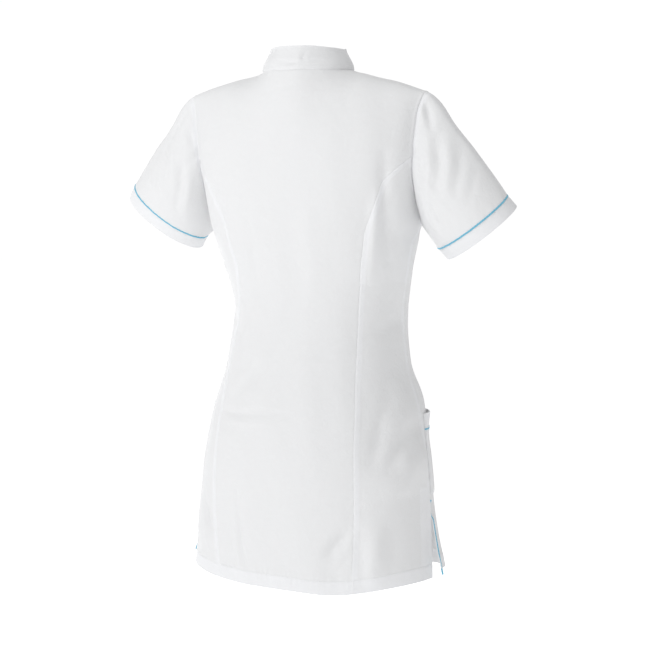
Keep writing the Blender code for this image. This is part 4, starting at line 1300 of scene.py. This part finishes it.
def centre_relief(face, side, grid, torso):
    """Lift and double cloth of a centre panel, and the distance from its armhole, neck and shoulder edges."""
    across, foot = arcs_down(grid, 1), arcs_down(grid, 0)
    first, last = across, across[:, -1:] - across
    along = grid[..., 2] + PUCKER_SLANT * grid[..., 0]
    low = np.arange(len(grid))[:, None] < torso.seam_top
    top = foot[-1:] - foot
    lift, double, from_open = groove(top), np.zeros(top.shape), top
    edges = {"left": (last,), "right": (first,)}.get(side, (first, last))
    for edge in edges:
        lift += groove(edge) + pucker(edge, along) * (low & (edge > 0))
        arm = np.where(low, np.inf, edge)
        lift += armhole_ridge(arm)
        from_open = np.minimum(from_open, arm)
    if face == "front":
        lap = first if side == "left" else last
        double = PLACKET_TONE * within(lap, PLACKET, LAYER_FADE)
        lift += TURNING_LIFT * PLACKET_SHARE * up_to(lap, PLACKET, PLACKET_SOFT)
        lift += sink(lap - PLACKET) + pucker(lap - PLACKET, along) * PLACKET_SHARE
    return lift, double, from_open


def side_relief(face, side, grid, torso):
    """The same for a side panel, whose armhole, side seam and vent are all its outer edge."""
    across, foot = arcs_down(grid, 1), arcs_down(grid, 0)
    inner, outer = across, across[:, -1:] - across
    if outer_column(face, side) == 0:
        inner, outer = outer, inner
    along = grid[..., 2] + PUCKER_SLANT * grid[..., 0]
    rows = np.arange(len(grid))[:, None]
    seam = np.where((rows >= torso.vent_top) & (rows <= torso.underarm), outer, np.inf)
    arm = np.where(rows > torso.underarm, outer, np.inf)
    allowance = step_between(inner, *ALLOWANCE_RISE) * within(inner, ALLOWANCE, ALLOWANCE_FALL)
    lift = ALLOWANCE_LIFT * allowance + groove(inner) + pucker(inner, along) * (inner > 0)
    lift += groove(seam) + pucker(seam, along) * (seam > 0) * SIDE_PUCKER
    lift += groove(arm) * ARMHOLE_GROOVE_SHARE + armhole_ridge(arm)
    double = within(inner, ALLOWANCE, ALLOWANCE_FADE)

    above_vent = foot - foot[torso.vent_top]
    width, reach = (VENT_FACING, VENT_FACING_ABOVE) if face == "back" else (FRONT_VENT_TURNING, 0.0)
    in_vent = within(above_vent, reach + FACING_FADE, FACING_FADE)
    turned = up_to(outer, width, EDGE_SOFT) * in_vent
    lift += TURNING_LIFT * turned * step_between(above_vent, VENT_SOFT, -VENT_SOFT)
    lift += sink(outer - width) * in_vent
    double = np.maximum(double, turned)
    if face == "back":
        double = np.maximum(double, within(seam, ALLOWANCE, LAYER_FADE))
    else:
        lift -= vent_tuck(-above_vent) * (1 - step_between(outer, VENT_TUCK_WIDTH / 3, VENT_TUCK_WIDTH))
        bulge = bell(outer - SIDE_BULGE_AT, SIDE_BULGE_WIDTH) * step_between(outer, 0.0, SIDE_BULGE_START)
        lift += SIDE_BULGE * bulge * bell(grid[..., 2] - SIDE_BULGE_Z, SIDE_BULGE_HEIGHT)
    return lift, double, outer


def torso_relief(name, grid, torso):
    """Lift of a torso panel's cloth over its solid's middle, and where the cloth is double."""
    face, part, side = f"{name}_".split("_")[:3]
    panel_relief = centre_relief if part == "centre" else side_relief
    lift, double, from_open = panel_relief(face, side, grid, torso)
    foot = arcs_down(grid, 0)
    hem = up_to(foot, HEM_DEPTH, EDGE_SOFT)
    round_hem = grid[..., 0] + HEM_PUCKER_SLANT * grid[..., 1]
    lift += drift(grid) + TURNING_LIFT * hem + sink(foot - HEM_DEPTH) * HEM_SINK
    lift += pucker((foot - HEM_DEPTH) * HEM_PUCKER_NARROW, round_hem) * HEM_PUCKER
    lift += crease_lift(grid, CREASES[face]) * step_between(from_open, 0.0, SIDE_FADE)
    return lift, np.maximum(double, hem)


def sleeve_relief(side, grid):
    down, around = arcs_down(grid, 0), arcs_down(grid, 1)
    total = around[:, -1:] + np.linalg.norm(grid[:, :1] - grid[:, -1:], axis=2)
    from_band = down[-1:] - down
    lift = drift(grid) + groove(down) * ARMHOLE_GROOVE_SHARE + groove(from_band)
    lift -= CAP_DROP * bell(down - CAP_DROP_AT, CAP_DROP_WIDTH) * (down > 0)
    lift += groove(np.minimum(around, total - around))
    lift += pucker(from_band, CUFF_PUCKER_SLANT * grid[..., 0] + grid[..., 1]) * CUFF_PUCKER
    backward = grid_normals(grid, True)[..., 1]
    for face, facing in (("back", 1.0), ("front", -1.0)):
        shown = step_between(backward * facing, *SLEEVE_FACE) * step_between(down, 0.0, CAP_CALM)
        lift += crease_lift(grid, SLEEVE_CREASES[side, face]) * shown
    return lift, within(down, ALLOWANCE, LAYER_FADE)


def band_relief(grid):
    down = arcs_down(grid, 0)
    lift = drift(grid) + groove(down) + TURNING_LIFT * step_between(down, *BAND_RISE)
    lift += pucker(down, CUFF_PUCKER_SLANT * grid[..., 0] + grid[..., 1]) + sink(down - BAND_STITCH_AT)
    return lift, np.ones(lift.shape)


def collar_relief(grid):
    rise = arcs_down(grid, 0)
    height = rise[-1:]
    bulge = np.sin(math.pi * COLLAR_BULGE_RUN * rise / height) * step_between(rise, 0.0, COLLAR_CALM)
    lift = drift(grid) - COLLAR_GROOVE * bell(rise, SEAM_GROOVE_WIDTH) + COLLAR_BULGE * bulge
    lift += sink(rise - COLLAR_STITCH_UP) + sink(height - rise - COLLAR_STITCH_DOWN)
    at_back = step_between(grid[..., 1], 0.0, COLLAR_BACK_Y)
    for wrinkle in COLLAR_WRINKLES:
        shape = bell(grid[..., 0] - wrinkle.x, wrinkle.width) * bell(rise - wrinkle.rise, wrinkle.height)
        lift += wrinkle.depth * CREASE_DEPTH * shape * at_back
    lift += pucker(rise, grid[..., 0] + COLLAR_PUCKER_SLANT * grid[..., 1]) * COLLAR_PUCKER
    return lift, np.full(lift.shape, COLLAR_TONE)


def pocket_relief(grid, is_band):
    across, foot = arcs_down(grid, 1), arcs_down(grid, 0)
    edge = np.minimum(across, across[:, -1:] - across)
    lift = drift(grid) + sink(edge - POCKET_STITCH_AT) + pucker(edge, grid[..., 2]) * POCKET_PUCKER
    if is_band:
        lift += groove(foot) + sink(foot - POCKET_BAND_STITCH_AT)
        settle = edge
        double = np.ones(lift.shape)
    else:
        lift += groove(foot[-1:] - foot) + sink(foot - POCKET_STITCH_AT)
        settle = np.minimum(edge, foot)
        double = within(settle, POCKET_TURNING, POCKET_TURNING_FADE)
    lift -= POCKET_EDGE_DROP * (1 - step_between(settle, 0.0, POCKET_EDGE_WIDTH))
    return lift, double


def piece_relief(name, grid, torso):
    if name == "collar":
        return collar_relief(grid)
    if name.startswith("sleeve_band"):
        return band_relief(grid)
    if name.startswith("sleeve"):
        return sleeve_relief(name.split("_")[-1], grid)
    return torso_relief(name, grid, torso)


def new_object(name, data):
    obj = bpy.data.objects.new(name, data)
    bpy.context.scene.collection.objects.link(obj)
    return obj


def mesh_object(name, points, faces, material, flat=None):
    """A smooth mesh with one material and, where one is given, a UV map."""
    mesh = bpy.data.meshes.new(name)
    mesh.from_pydata(points, [], faces)
    mesh.shade_smooth()
    if flat is not None:
        mesh.uv_layers.new(name="UVMap").data.foreach_set("uv", np.array(flat).ravel())
        mesh.set_sharp_from_angle(angle=math.radians(SHARP_ANGLE))
    mesh.materials.append(material)
    return new_object(name, mesh)


def border_places(grid, closed):
    """Row and column of every point on a grid's edge, each one once."""
    rows, columns = grid.shape[:2]
    places = {(row, column) for row in (0, rows - 1) for column in range(columns)}
    if not closed:
        places |= {(row, column) for row in range(rows) for column in (0, columns - 1)}
    return sorted(places)


Face = namedtuple("Face", "outer inner normals double closed")


def cloth_faces(panels, reliefs):
    """The outer and inner face of every panel's cloth. Panels that are sewn together share their seam."""
    own = {name: grid_normals(grid, closed) for name, (grid, closed) in panels.items()}
    totals = {}
    meeting = {}
    for name, (grid, closed) in panels.items():
        for place in border_places(grid, closed):
            key = key_of(grid[place])
            totals[key] = totals.get(key, np.zeros(3)) + own[name][place]
            meeting.setdefault(key, []).append((name, place))
    outer, inner = {}, {}
    for name, (grid, closed) in panels.items():
        spread = own[name].copy()
        for place in border_places(grid, closed):
            total = totals[key_of(grid[place])]
            length = np.linalg.norm(total)
            if length > SHARPEST_FOLD:
                mitre = total / length
                spread[place] = mitre / max(float(mitre @ own[name][place]), LEAST_MITRE)
        lift, double = reliefs[name]
        outer[name] = grid + spread * (OUT + lift)[..., None]
        inner[name] = outer[name] - spread * (CLOTH * (1 + LAYER_SHARE * double))[..., None]
    for places in meeting.values():
        for faces in (outer, inner):
            mean = sum(faces[name][place] for name, place in places) / len(places)
            for name, place in places:
                faces[name][place] = mean
    return {
        name: Face(outer[name], inner[name], grid_normals(outer[name], closed), reliefs[name][1], closed)
        for name, (grid, closed) in panels.items()
    }


def corners(*grids):
    return np.stack([grid.ravel() for grid in grids], axis=-1)


def shell_object(name, face, material):
    """A cloth panel as a closed shell, with its own length and width in metres as its UV map."""
    rows, columns = face.outer.shape[:2]
    wide = columns + 1 if face.closed else columns
    row_at, column_at = np.divmod(np.arange(rows * wide), wide)
    vertex_of = row_at * columns + column_at % columns
    vertex_of = np.concatenate([vertex_of, vertex_of + rows * columns])
    front = np.arange(rows * wide).reshape(rows, wide)
    back = front + rows * wide
    quads = [
        corners(front[:-1, :-1], front[:-1, 1:], front[1:, 1:], front[1:, :-1]),
        corners(back[:-1, :-1], back[1:, :-1], back[1:, 1:], back[:-1, 1:]),
        corners(back[0, :-1], back[0, 1:], front[0, 1:], front[0, :-1]),
        corners(front[-1, :-1], front[-1, 1:], back[-1, 1:], back[-1, :-1]),
    ]
    if not face.closed:
        quads.append(corners(back[:-1, 0], front[:-1, 0], front[1:, 0], back[1:, 0]))
        quads.append(corners(front[:-1, -1], back[:-1, -1], back[1:, -1], front[1:, -1]))
    quads = np.concatenate(quads)
    points = np.concatenate([face.outer.reshape(-1, 3), face.inner.reshape(-1, 3)])
    ring = np.concatenate([face.outer, face.outer[:, :1]], axis=1) if face.closed else face.outer
    flat = np.stack([arcs_down(ring, 1), arcs_down(ring, 0)], axis=-1).reshape(-1, 2)
    flat = np.concatenate([flat, flat])[quads]
    shell = mesh_object(name, points.tolist(), vertex_of[quads].tolist(), material, flat)
    layers = np.concatenate([face.double.ravel(), face.double.ravel()])
    shell.data.attributes.new("layers", "FLOAT", "POINT").data.foreach_set("value", layers)
    return shell


def closed_line(line):
    """The line with its start once more at its end."""
    return Line(*(np.concatenate([values, values[:1]]) for values in line))


def line_at(points, normals, arcs, distance):
    """The line across a grid's columns where each has that length from its first row."""
    long = [column for column in range(points.shape[1]) if arcs[-1, column] > distance]
    line = [points_at(distance, arcs[:, column], points[:, column]) for column in long]
    ways = [points_at(distance, arcs[:, column], normals[:, column]) for column in long]
    return Line(np.array(line), directions(np.array(ways)))


def level_line(face, distance, from_top=False):
    """A line at one distance from a face's first row, or from its last one."""
    way = -1 if from_top else 1
    points, normals = face.outer[::way], face.normals[::way]
    line = line_at(points, normals, arcs_down(points, 0), distance)
    return closed_line(line) if face.closed else line


def upright_line(face, distance, from_last=False, rows=slice(None)):
    """A line at one distance from a face's first column, or from its last one."""
    way = -1 if from_last else 1
    points, normals = face.outer[rows, ::way].swapaxes(0, 1), face.normals[rows, ::way].swapaxes(0, 1)
    return line_at(points, normals, arcs_down(points, 0), distance)


def stitches_object(name, lines, material):
    """Rows of short stitches that lie on the cloth along lines."""
    points, faces = [], []
    pitch = STITCH_LENGTH + STITCH_SPACE
    sides = len(STITCH_RING)
    for line in lines:
        arcs = arc_along(line.points)
        for k in range(int(arcs[-1] / pitch)):
            places = np.array(STITCH_SHARES) * STITCH_LENGTH + k * pitch
            spots = points_at(places, arcs, line.points)
            normal = unit(points_at(places[1], arcs, line.normals))
            beside = np.cross(normal, unit(spots[-1] - spots[0]))
            first = len(points)
            points.append(spots[0] - normal * STITCH_RADIUS)
            for spot in spots[1:-1]:
                for angle in np.radians(STITCH_RING):
                    way = beside * math.cos(angle) + normal * (math.sin(angle) + STITCH_RISE)
                    points.append(spot + way * STITCH_RADIUS)
            points.append(spots[-1] - normal * STITCH_RADIUS)
            last = len(points) - 1
            for side in range(sides):
                near, far = first + 1 + side, first + 1 + (side + 1) % sides
                faces.append((first, far, near))
                faces.append((near, far, far + sides, near + sides))
                faces.append((last, near + sides, far + sides))
    return mesh_object(name, [tuple(point) for point in points], faces, material)


def cord_rings(line, cyclic):
    """Rings of a corded piping round a line, turning a little so that its strands show."""
    arcs = arc_along(line.points)
    spots = np.linspace(0, arcs[-1], max(2, round(arcs[-1] / PIPING_STEP)) + 1)
    if cyclic:
        spots = spots[:-1]
    points, normals = points_at(spots, arcs, line.points), points_at(spots, arcs, line.normals)
    if cyclic:
        along = directions(np.roll(points, -1, axis=0) - np.roll(points, 1, axis=0))
    else:
        along = directions(np.gradient(points, axis=0))
    normals = directions(normals - along * np.sum(normals * along, axis=1, keepdims=True))
    beside = np.cross(along, normals)
    angles = np.linspace(0, 2 * math.pi, PIPING_SIDES, endpoint=False)
    rings = []
    for spot, point, normal, side in zip(spots, points, normals, beside):
        strand = 1 + PIPING_STRAND * np.cos(PIPING_STRANDS * angles + spot * 2 * math.pi / PIPING_TWIST)
        way = np.cos(angles)[:, None] * normal + np.sin(angles)[:, None] * side
        rings.append(point + way * (PIPING_RADIUS * strand)[:, None])
    return np.array(rings), spots


def piping_object(name, line, cyclic, material):
    """A corded piping along a line. Its UV map is the turn round it and the length along it."""
    rings, spots = cord_rings(line, cyclic)
    count, sides = rings.shape[:2]
    faces, flat = [], []
    for k in range(count if cyclic else count - 1):
        own, other = k * sides, (k + 1) % count * sides
        low, high = spots[k], spots[k] + PIPING_STEP
        for j in range(sides):
            beside = (j + 1) % sides
            faces.append((own + j, own + beside, other + beside, other + j))
            flat += [(j / sides, low), ((j + 1) / sides, low), ((j + 1) / sides, high), (j / sides, high)]
    if not cyclic:
        for k, turned in ((0, True), (count - 1, False)):
            cap = [k * sides + j for j in range(sides)]
            faces.append(cap[::-1] if turned else cap)
            flat += [(j / sides, spots[k]) for j in range(sides)]
    return mesh_object(name, rings.reshape(-1, 3).tolist(), faces, material, flat)


def feed(tree, socket, value):
    """Gives a node's input the output of another node, or a value of its own."""
    if isinstance(value, bpy.types.NodeSocket):
        tree.links.new(value, socket)
    elif socket.type == "RGBA":
        socket.default_value = (*value, 1.0)
    else:
        socket.default_value = value


def feed_all(tree, node, **inputs):
    """Feeds a node's inputs, given by name with _ for a space."""
    for name, value in inputs.items():
        feed(tree, node.inputs[name.replace("_", " ")], value)
    return node


def add_node(tree, kind, **inputs):
    return feed_all(tree, tree.nodes.new(f"ShaderNode{kind}"), **inputs)


def math_node(tree, operation, first, second=None):
    node = add_node(tree, "Math")
    node.operation = operation
    for socket, value in zip(node.inputs, (first, second)):
        if value is not None:
            feed(tree, socket, value)
    return node.outputs[0]


def mixed(tree, factor, first, second):
    """The colour between two, at a factor that comes from another node."""
    node = add_node(tree, "Mix")
    node.data_type = "RGBA"
    feed(tree, node.inputs[0], factor)
    for place, value in zip(MIX_COLOUR_INPUTS, (first, second)):
        feed(tree, node.inputs[place], value)
    return node.outputs[MIX_COLOUR_OUTPUT]


def new_material(name, **inputs):
    material = bpy.data.materials.new(name)
    material.use_nodes = True
    tree = material.node_tree
    return material, tree, feed_all(tree, tree.nodes["Principled BSDF"], **inputs)


def cloth_material():
    """White cotton and polyester cloth: a fine weave, a soft sheen, and lighter where layers lie double."""
    material, tree, shader = new_material(
        "white cloth", Roughness=0.62, Sheen_Weight=0.12, Sheen_Roughness=0.45, Specular_IOR_Level=0.35
    )
    place = add_node(tree, "TexCoord").outputs
    layers = add_node(tree, "Attribute")
    layers.attribute_name = "layers"
    base = mixed(tree, layers.outputs["Fac"], SINGLE, DOUBLE)
    mottle = add_node(tree, "TexNoise", Vector=place["Object"], Scale=38.0, Detail=5.0, Roughness=0.6)
    shade = add_node(tree, "MapRange", Value=mottle.outputs["Fac"], From_Min=0.3, From_Max=0.7, To_Max=MOTTLE)

    split = add_node(tree, "SeparateXYZ", Vector=place["UV"])
    threads = []
    for axis, turn in ((0, 0.0), (1, math.pi / 2)):
        scaled = math_node(tree, "MULTIPLY", split.outputs[axis], 2 * math.pi / WEAVE)
        threads.append(math_node(tree, "SINE", math_node(tree, "ADD", scaled, turn)))
    weave = math_node(tree, "MULTIPLY", *threads)
    stretch = add_node(tree, "Mapping", Vector=place["UV"], Scale=(1.0, SLUB_STRETCH, 1.0))
    slub = add_node(tree, "TexNoise", Vector=stretch.outputs[0], Scale=900.0, Detail=3.0)
    height = math_node(tree, "ADD", weave, math_node(tree, "MULTIPLY", slub.outputs["Fac"], SLUB))
    fine = add_node(tree, "Bump", Height=height, Strength=0.35, Distance=WEAVE_DEPTH)
    crumple = add_node(
        tree, "TexNoise", Vector=place["Object"], Scale=95.0, Detail=4.0, Roughness=0.5, Distortion=0.6
    )
    soft = add_node(
        tree, "Bump", Height=crumple.outputs["Fac"], Normal=fine.outputs[0], Strength=0.55, Distance=CRUMPLE
    )
    colour = mixed(tree, shade.outputs[0], base, MOTTLE_TONE)
    feed_all(tree, shader, Base_Color=colour, Normal=soft.outputs[0])
    return material


def thread_material():
    material, tree, shader = new_material("white thread", Roughness=0.5)
    place = add_node(tree, "TexCoord").outputs
    twist = add_node(tree, "TexNoise", Vector=place["Object"], Scale=1400.0, Detail=2.0)
    bump = add_node(tree, "Bump", Height=twist.outputs["Fac"], Strength=0.3, Distance=THREAD_DEPTH)
    colour = mixed(tree, twist.outputs["Fac"], THREAD, SINGLE)
    feed_all(tree, shader, Base_Color=colour, Normal=bump.outputs[0])
    return material


def piping_material():
    """Blue satin cord whose slanted strands are raised by a bump, with painted sheen on their crests: a
    lighter blue that fades to the plain blue in the grooves.
    """
    material, tree, shader = new_material("blue piping", Roughness=0.5, Sheen_Weight=0.2)
    split = add_node(tree, "SeparateXYZ", Vector=add_node(tree, "TexCoord").outputs["UV"])
    around = math_node(tree, "MULTIPLY", split.outputs[0], 2 * math.pi * PIPING_STRANDS)
    along = math_node(tree, "MULTIPLY", split.outputs[1], 2 * math.pi / PIPING_TWIST)
    strand = math_node(tree, "SINE", math_node(tree, "ADD", around, along))
    # Painted sheen: the share of the lighter blue follows the strands' height, most on their crests and none
    # in the grooves
    share = add_node(tree, "MapRange", Value=strand, From_Min=-1.0, From_Max=1.0, To_Max=0.6)
    bump = add_node(tree, "Bump", Height=strand, Strength=0.4, Distance=PIPING_DEPTH)
    colour = mixed(tree, share.outputs[0], PIPING_BLUE, PIPING_SHEEN_BLUE)
    feed_all(tree, shader, Base_Color=colour, Normal=bump.outputs[0])
    return material


def aim_camera():
    data = bpy.data.cameras.new("camera")
    data.sensor_width = CAMERA_SENSOR
    data.lens = CAMERA_LENS
    camera = new_object("camera", data)
    yaw, pitch = math.radians(CAMERA_YAW), math.radians(CAMERA_PITCH)
    forward = Vector((math.sin(yaw) * math.cos(pitch), -math.cos(yaw) * math.cos(pitch), -math.sin(pitch)))
    camera.location = CAMERA_PLACE
    camera.rotation_euler = forward.to_track_quat("-Z", "Y").to_euler()
    bpy.context.scene.camera = camera
    return forward


def light_world(forward, left):
    """Light from all round, strongest from above, with a bright patch behind. The camera sees white."""
    world = bpy.data.worlds.new("studio")
    bpy.context.scene.world = world
    world.use_nodes = True
    tree = world.node_tree
    place = add_node(tree, "TexCoord").outputs["Generated"]
    soft = left * WORLD_LEFT - forward * WORLD_NEAR + Vector((0, 0, WORLD_UP))
    shares = []
    for way, low, high, low_value, high_value in (
        (soft, -1.0, 1.0, WORLD_DIM, WORLD_BRIGHT),
        (forward, BACKDROP_START, BACKDROP_FULL, 0.0, BACKDROP_GLOW),
    ):
        toward = add_node(tree, "VectorMath")
        toward.operation = "DOT_PRODUCT"
        for socket, value in zip(toward.inputs, (place, way.normalized())):
            feed(tree, socket, value)
        share = add_node(tree, "MapRange", From_Min=low, From_Max=high, To_Min=low_value, To_Max=high_value)
        feed_all(tree, share, Value=toward.outputs["Value"])
        shares.append(share.outputs[0])
    seen = add_node(tree, "LightPath").outputs["Is Camera Ray"]
    shown = add_node(tree, "Mix", Factor=seen, A=math_node(tree, "ADD", *shares), B=SEEN_WORLD)
    feed_all(tree, tree.nodes["Background"], Strength=shown.outputs["Result"], Color=WORLD_TONE)


def add_lamp(name, power, place):
    """A large soft lamp that points at the middle of the tunic."""
    data = bpy.data.lights.new(name, "AREA")
    data.shape = "DISK"
    data.size = LAMP_SIZE
    data.energy = power
    lamp = new_object(name, data)
    lamp.location = place
    lamp.rotation_euler = (Vector((0, 0, BODY_MIDDLE_Z)) - lamp.location).to_track_quat("-Z", "Y").to_euler()


def light_studio(forward):
    """A pale, even studio: a bright backdrop and floor, more light from the camera's left than its right."""
    left = Vector((-forward.y, forward.x, 0)).normalized()
    light_world(forward, left)
    add_lamp("key", KEY_POWER, left * KEY_LEFT - forward * KEY_NEAR + Vector((0, 0, KEY_HEIGHT)))
    add_lamp("fill", FILL_POWER, left * FILL_LEFT + forward * FILL_FAR + Vector((0, 0, FILL_HEIGHT)))
    turns = np.linspace(0, 2 * math.pi, FLOOR_SIDES, endpoint=False)
    rim = [(FLOOR_RADIUS * math.cos(turn), FLOOR_RADIUS * math.sin(turn), FLOOR_Z) for turn in turns]
    material, _, _ = new_material(
        "floor", Roughness=0.9, Base_Color=FLOOR_TONE, Emission_Color=WORLD_TONE, Emission_Strength=FLOOR_GLOW
    )
    mesh_object("floor", rim, [tuple(range(len(rim)))], material)


def vent_cord(torso, side):
    """The piping's line down a vent's front edge, from its end in the seam to just below the hem."""
    panel = torso.grids[f"front_side_{side}"]
    edge, inner = (-1, -1 - VENT_INWARD_COLUMNS) if side == "left" else (0, VENT_INWARD_COLUMNS)
    reach = slice(0, torso.vent_top + 1)
    line, normals = panel[reach, edge], grid_normals(panel)[reach, edge]
    inward = directions(panel[reach, inner] - line)
    along = arc_along(line)
    lift = PIPING_LIFT - vent_tuck(along[-1] - along)
    line = line + normals * lift[:, None] + inward * VENT_PIPING_INSET
    tail = line[0] + unit(line[0] - line[VENT_TAIL_ROWS]) * VENT_PIPING_TAIL
    return Line(np.array([tail, *line]), np.array([normals[0], *normals]))


def seam_lines(name, face, torso):
    """The stitching that shows on one piece."""
    part, kind, side = f"{name}__".split("_")[:3]
    if part in ("back", "front"):
        lines = [level_line(face, HEM_DEPTH)]
        if kind == "side":
            width = VENT_FACING if part == "back" else FRONT_VENT_TURNING
            rows = slice(0, torso.vent_top + (FACING_ROWS if part == "back" else TURNING_ROWS))
            lines.append(upright_line(face, width, outer_column(part, side) == -1, rows))
        elif part == "front":
            lines.append(upright_line(face, PLACKET, side == "right"))
        return lines
    if part == "collar":
        return [level_line(face, COLLAR_STITCH_UP), level_line(face, COLLAR_STITCH_DOWN, True)]
    if part == "pocket":
        lines = [upright_line(face, POCKET_STITCH_AT, last) for last in (False, True)]
        lines.append(level_line(face, POCKET_BAND_STITCH_AT if kind == "band" else POCKET_STITCH_AT))
        return lines
    return [level_line(face, BAND_STITCH_AT)] if kind == "band" else []


def cloth_pieces(torso):
    """The outer and inner face of every piece of cloth, by name."""
    panels = {name: (grid, False) for name, grid in torso.grids.items()}
    panels["collar"] = (fine_collar(torso), False)
    for cuff in CUFFS:
        for part, grid in zip(("sleeve", "sleeve_band"), fine_sleeve(cuff, torso)):
            panels[f"{part}_{cuff.side}"] = (mirrored(grid) if cuff.side == "right" else grid, True)
    faces = cloth_faces(panels, {name: piece_relief(name, grid, torso) for name, (grid, _) in panels.items()})
    pockets = {}
    for side in SIDES:
        panel = torso.coarse[f"front_side_{side}"]
        seam_z = POCKET_TOP_Z - POCKET_BAND
        band = pocket_grid(panel, side == "left", POCKET_TOP_Z, seam_z)
        pouch = pocket_grid(panel, side == "left", seam_z, POCKET_BOTTOM_Z)
        pouch, band = fine_pocket(pouch, band)
        pockets[f"pocket_{side}"] = (pouch, False)
        pockets[f"pocket_band_{side}"] = (band, False)
    reliefs = {name: pocket_relief(grid, "band" in name) for name, (grid, _) in pockets.items()}
    faces.update(cloth_faces(pockets, reliefs))
    return faces


def edge_cord(face):
    """The piping's line along a band's first row, and round to its start again where the band is closed."""
    line = Line(face.outer[0] + face.normals[0] * PIPING_ABOVE, face.normals[0])
    return closed_line(line) if face.closed else line


def build():
    torso = eased_torso(fine_torso())
    faces = cloth_pieces(torso)
    cloth, thread, blue = cloth_material(), thread_material(), piping_material()
    pieces = {}
    for name, face in faces.items():
        pieces[name] = shell_object(f"cloth_{name}", face, cloth)
        lines = seam_lines(name, face, torso)
        if lines:
            pieces[f"stitching_{name}"] = stitches_object(f"stitching_{name}", lines, thread)
    for side in SIDES:
        for part in ("sleeve", "pocket"):
            band = faces[f"{part}_band_{side}"]
            cord = piping_object(f"piping_{part}_{side}", edge_cord(band), band.closed, blue)
            pieces[f"{part}_piping_{side}"] = cord
        cord = piping_object(f"piping_vent_{side}", vent_cord(torso, side), False, blue)
        pieces[f"vent_piping_{side}"] = cord

    for name, piece in pieces.items():
        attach(piece, "root")
        node = name.replace("stitching_", "")
        if not name.startswith("stitching_"):
            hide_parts(node)
    for name, cut in CUTS.items():
        side = name.split("_")[-1]


def main():
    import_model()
    bpy.context.scene.view_settings.view_transform = "Standard"
    light_studio(aim_camera())
    build()


main()
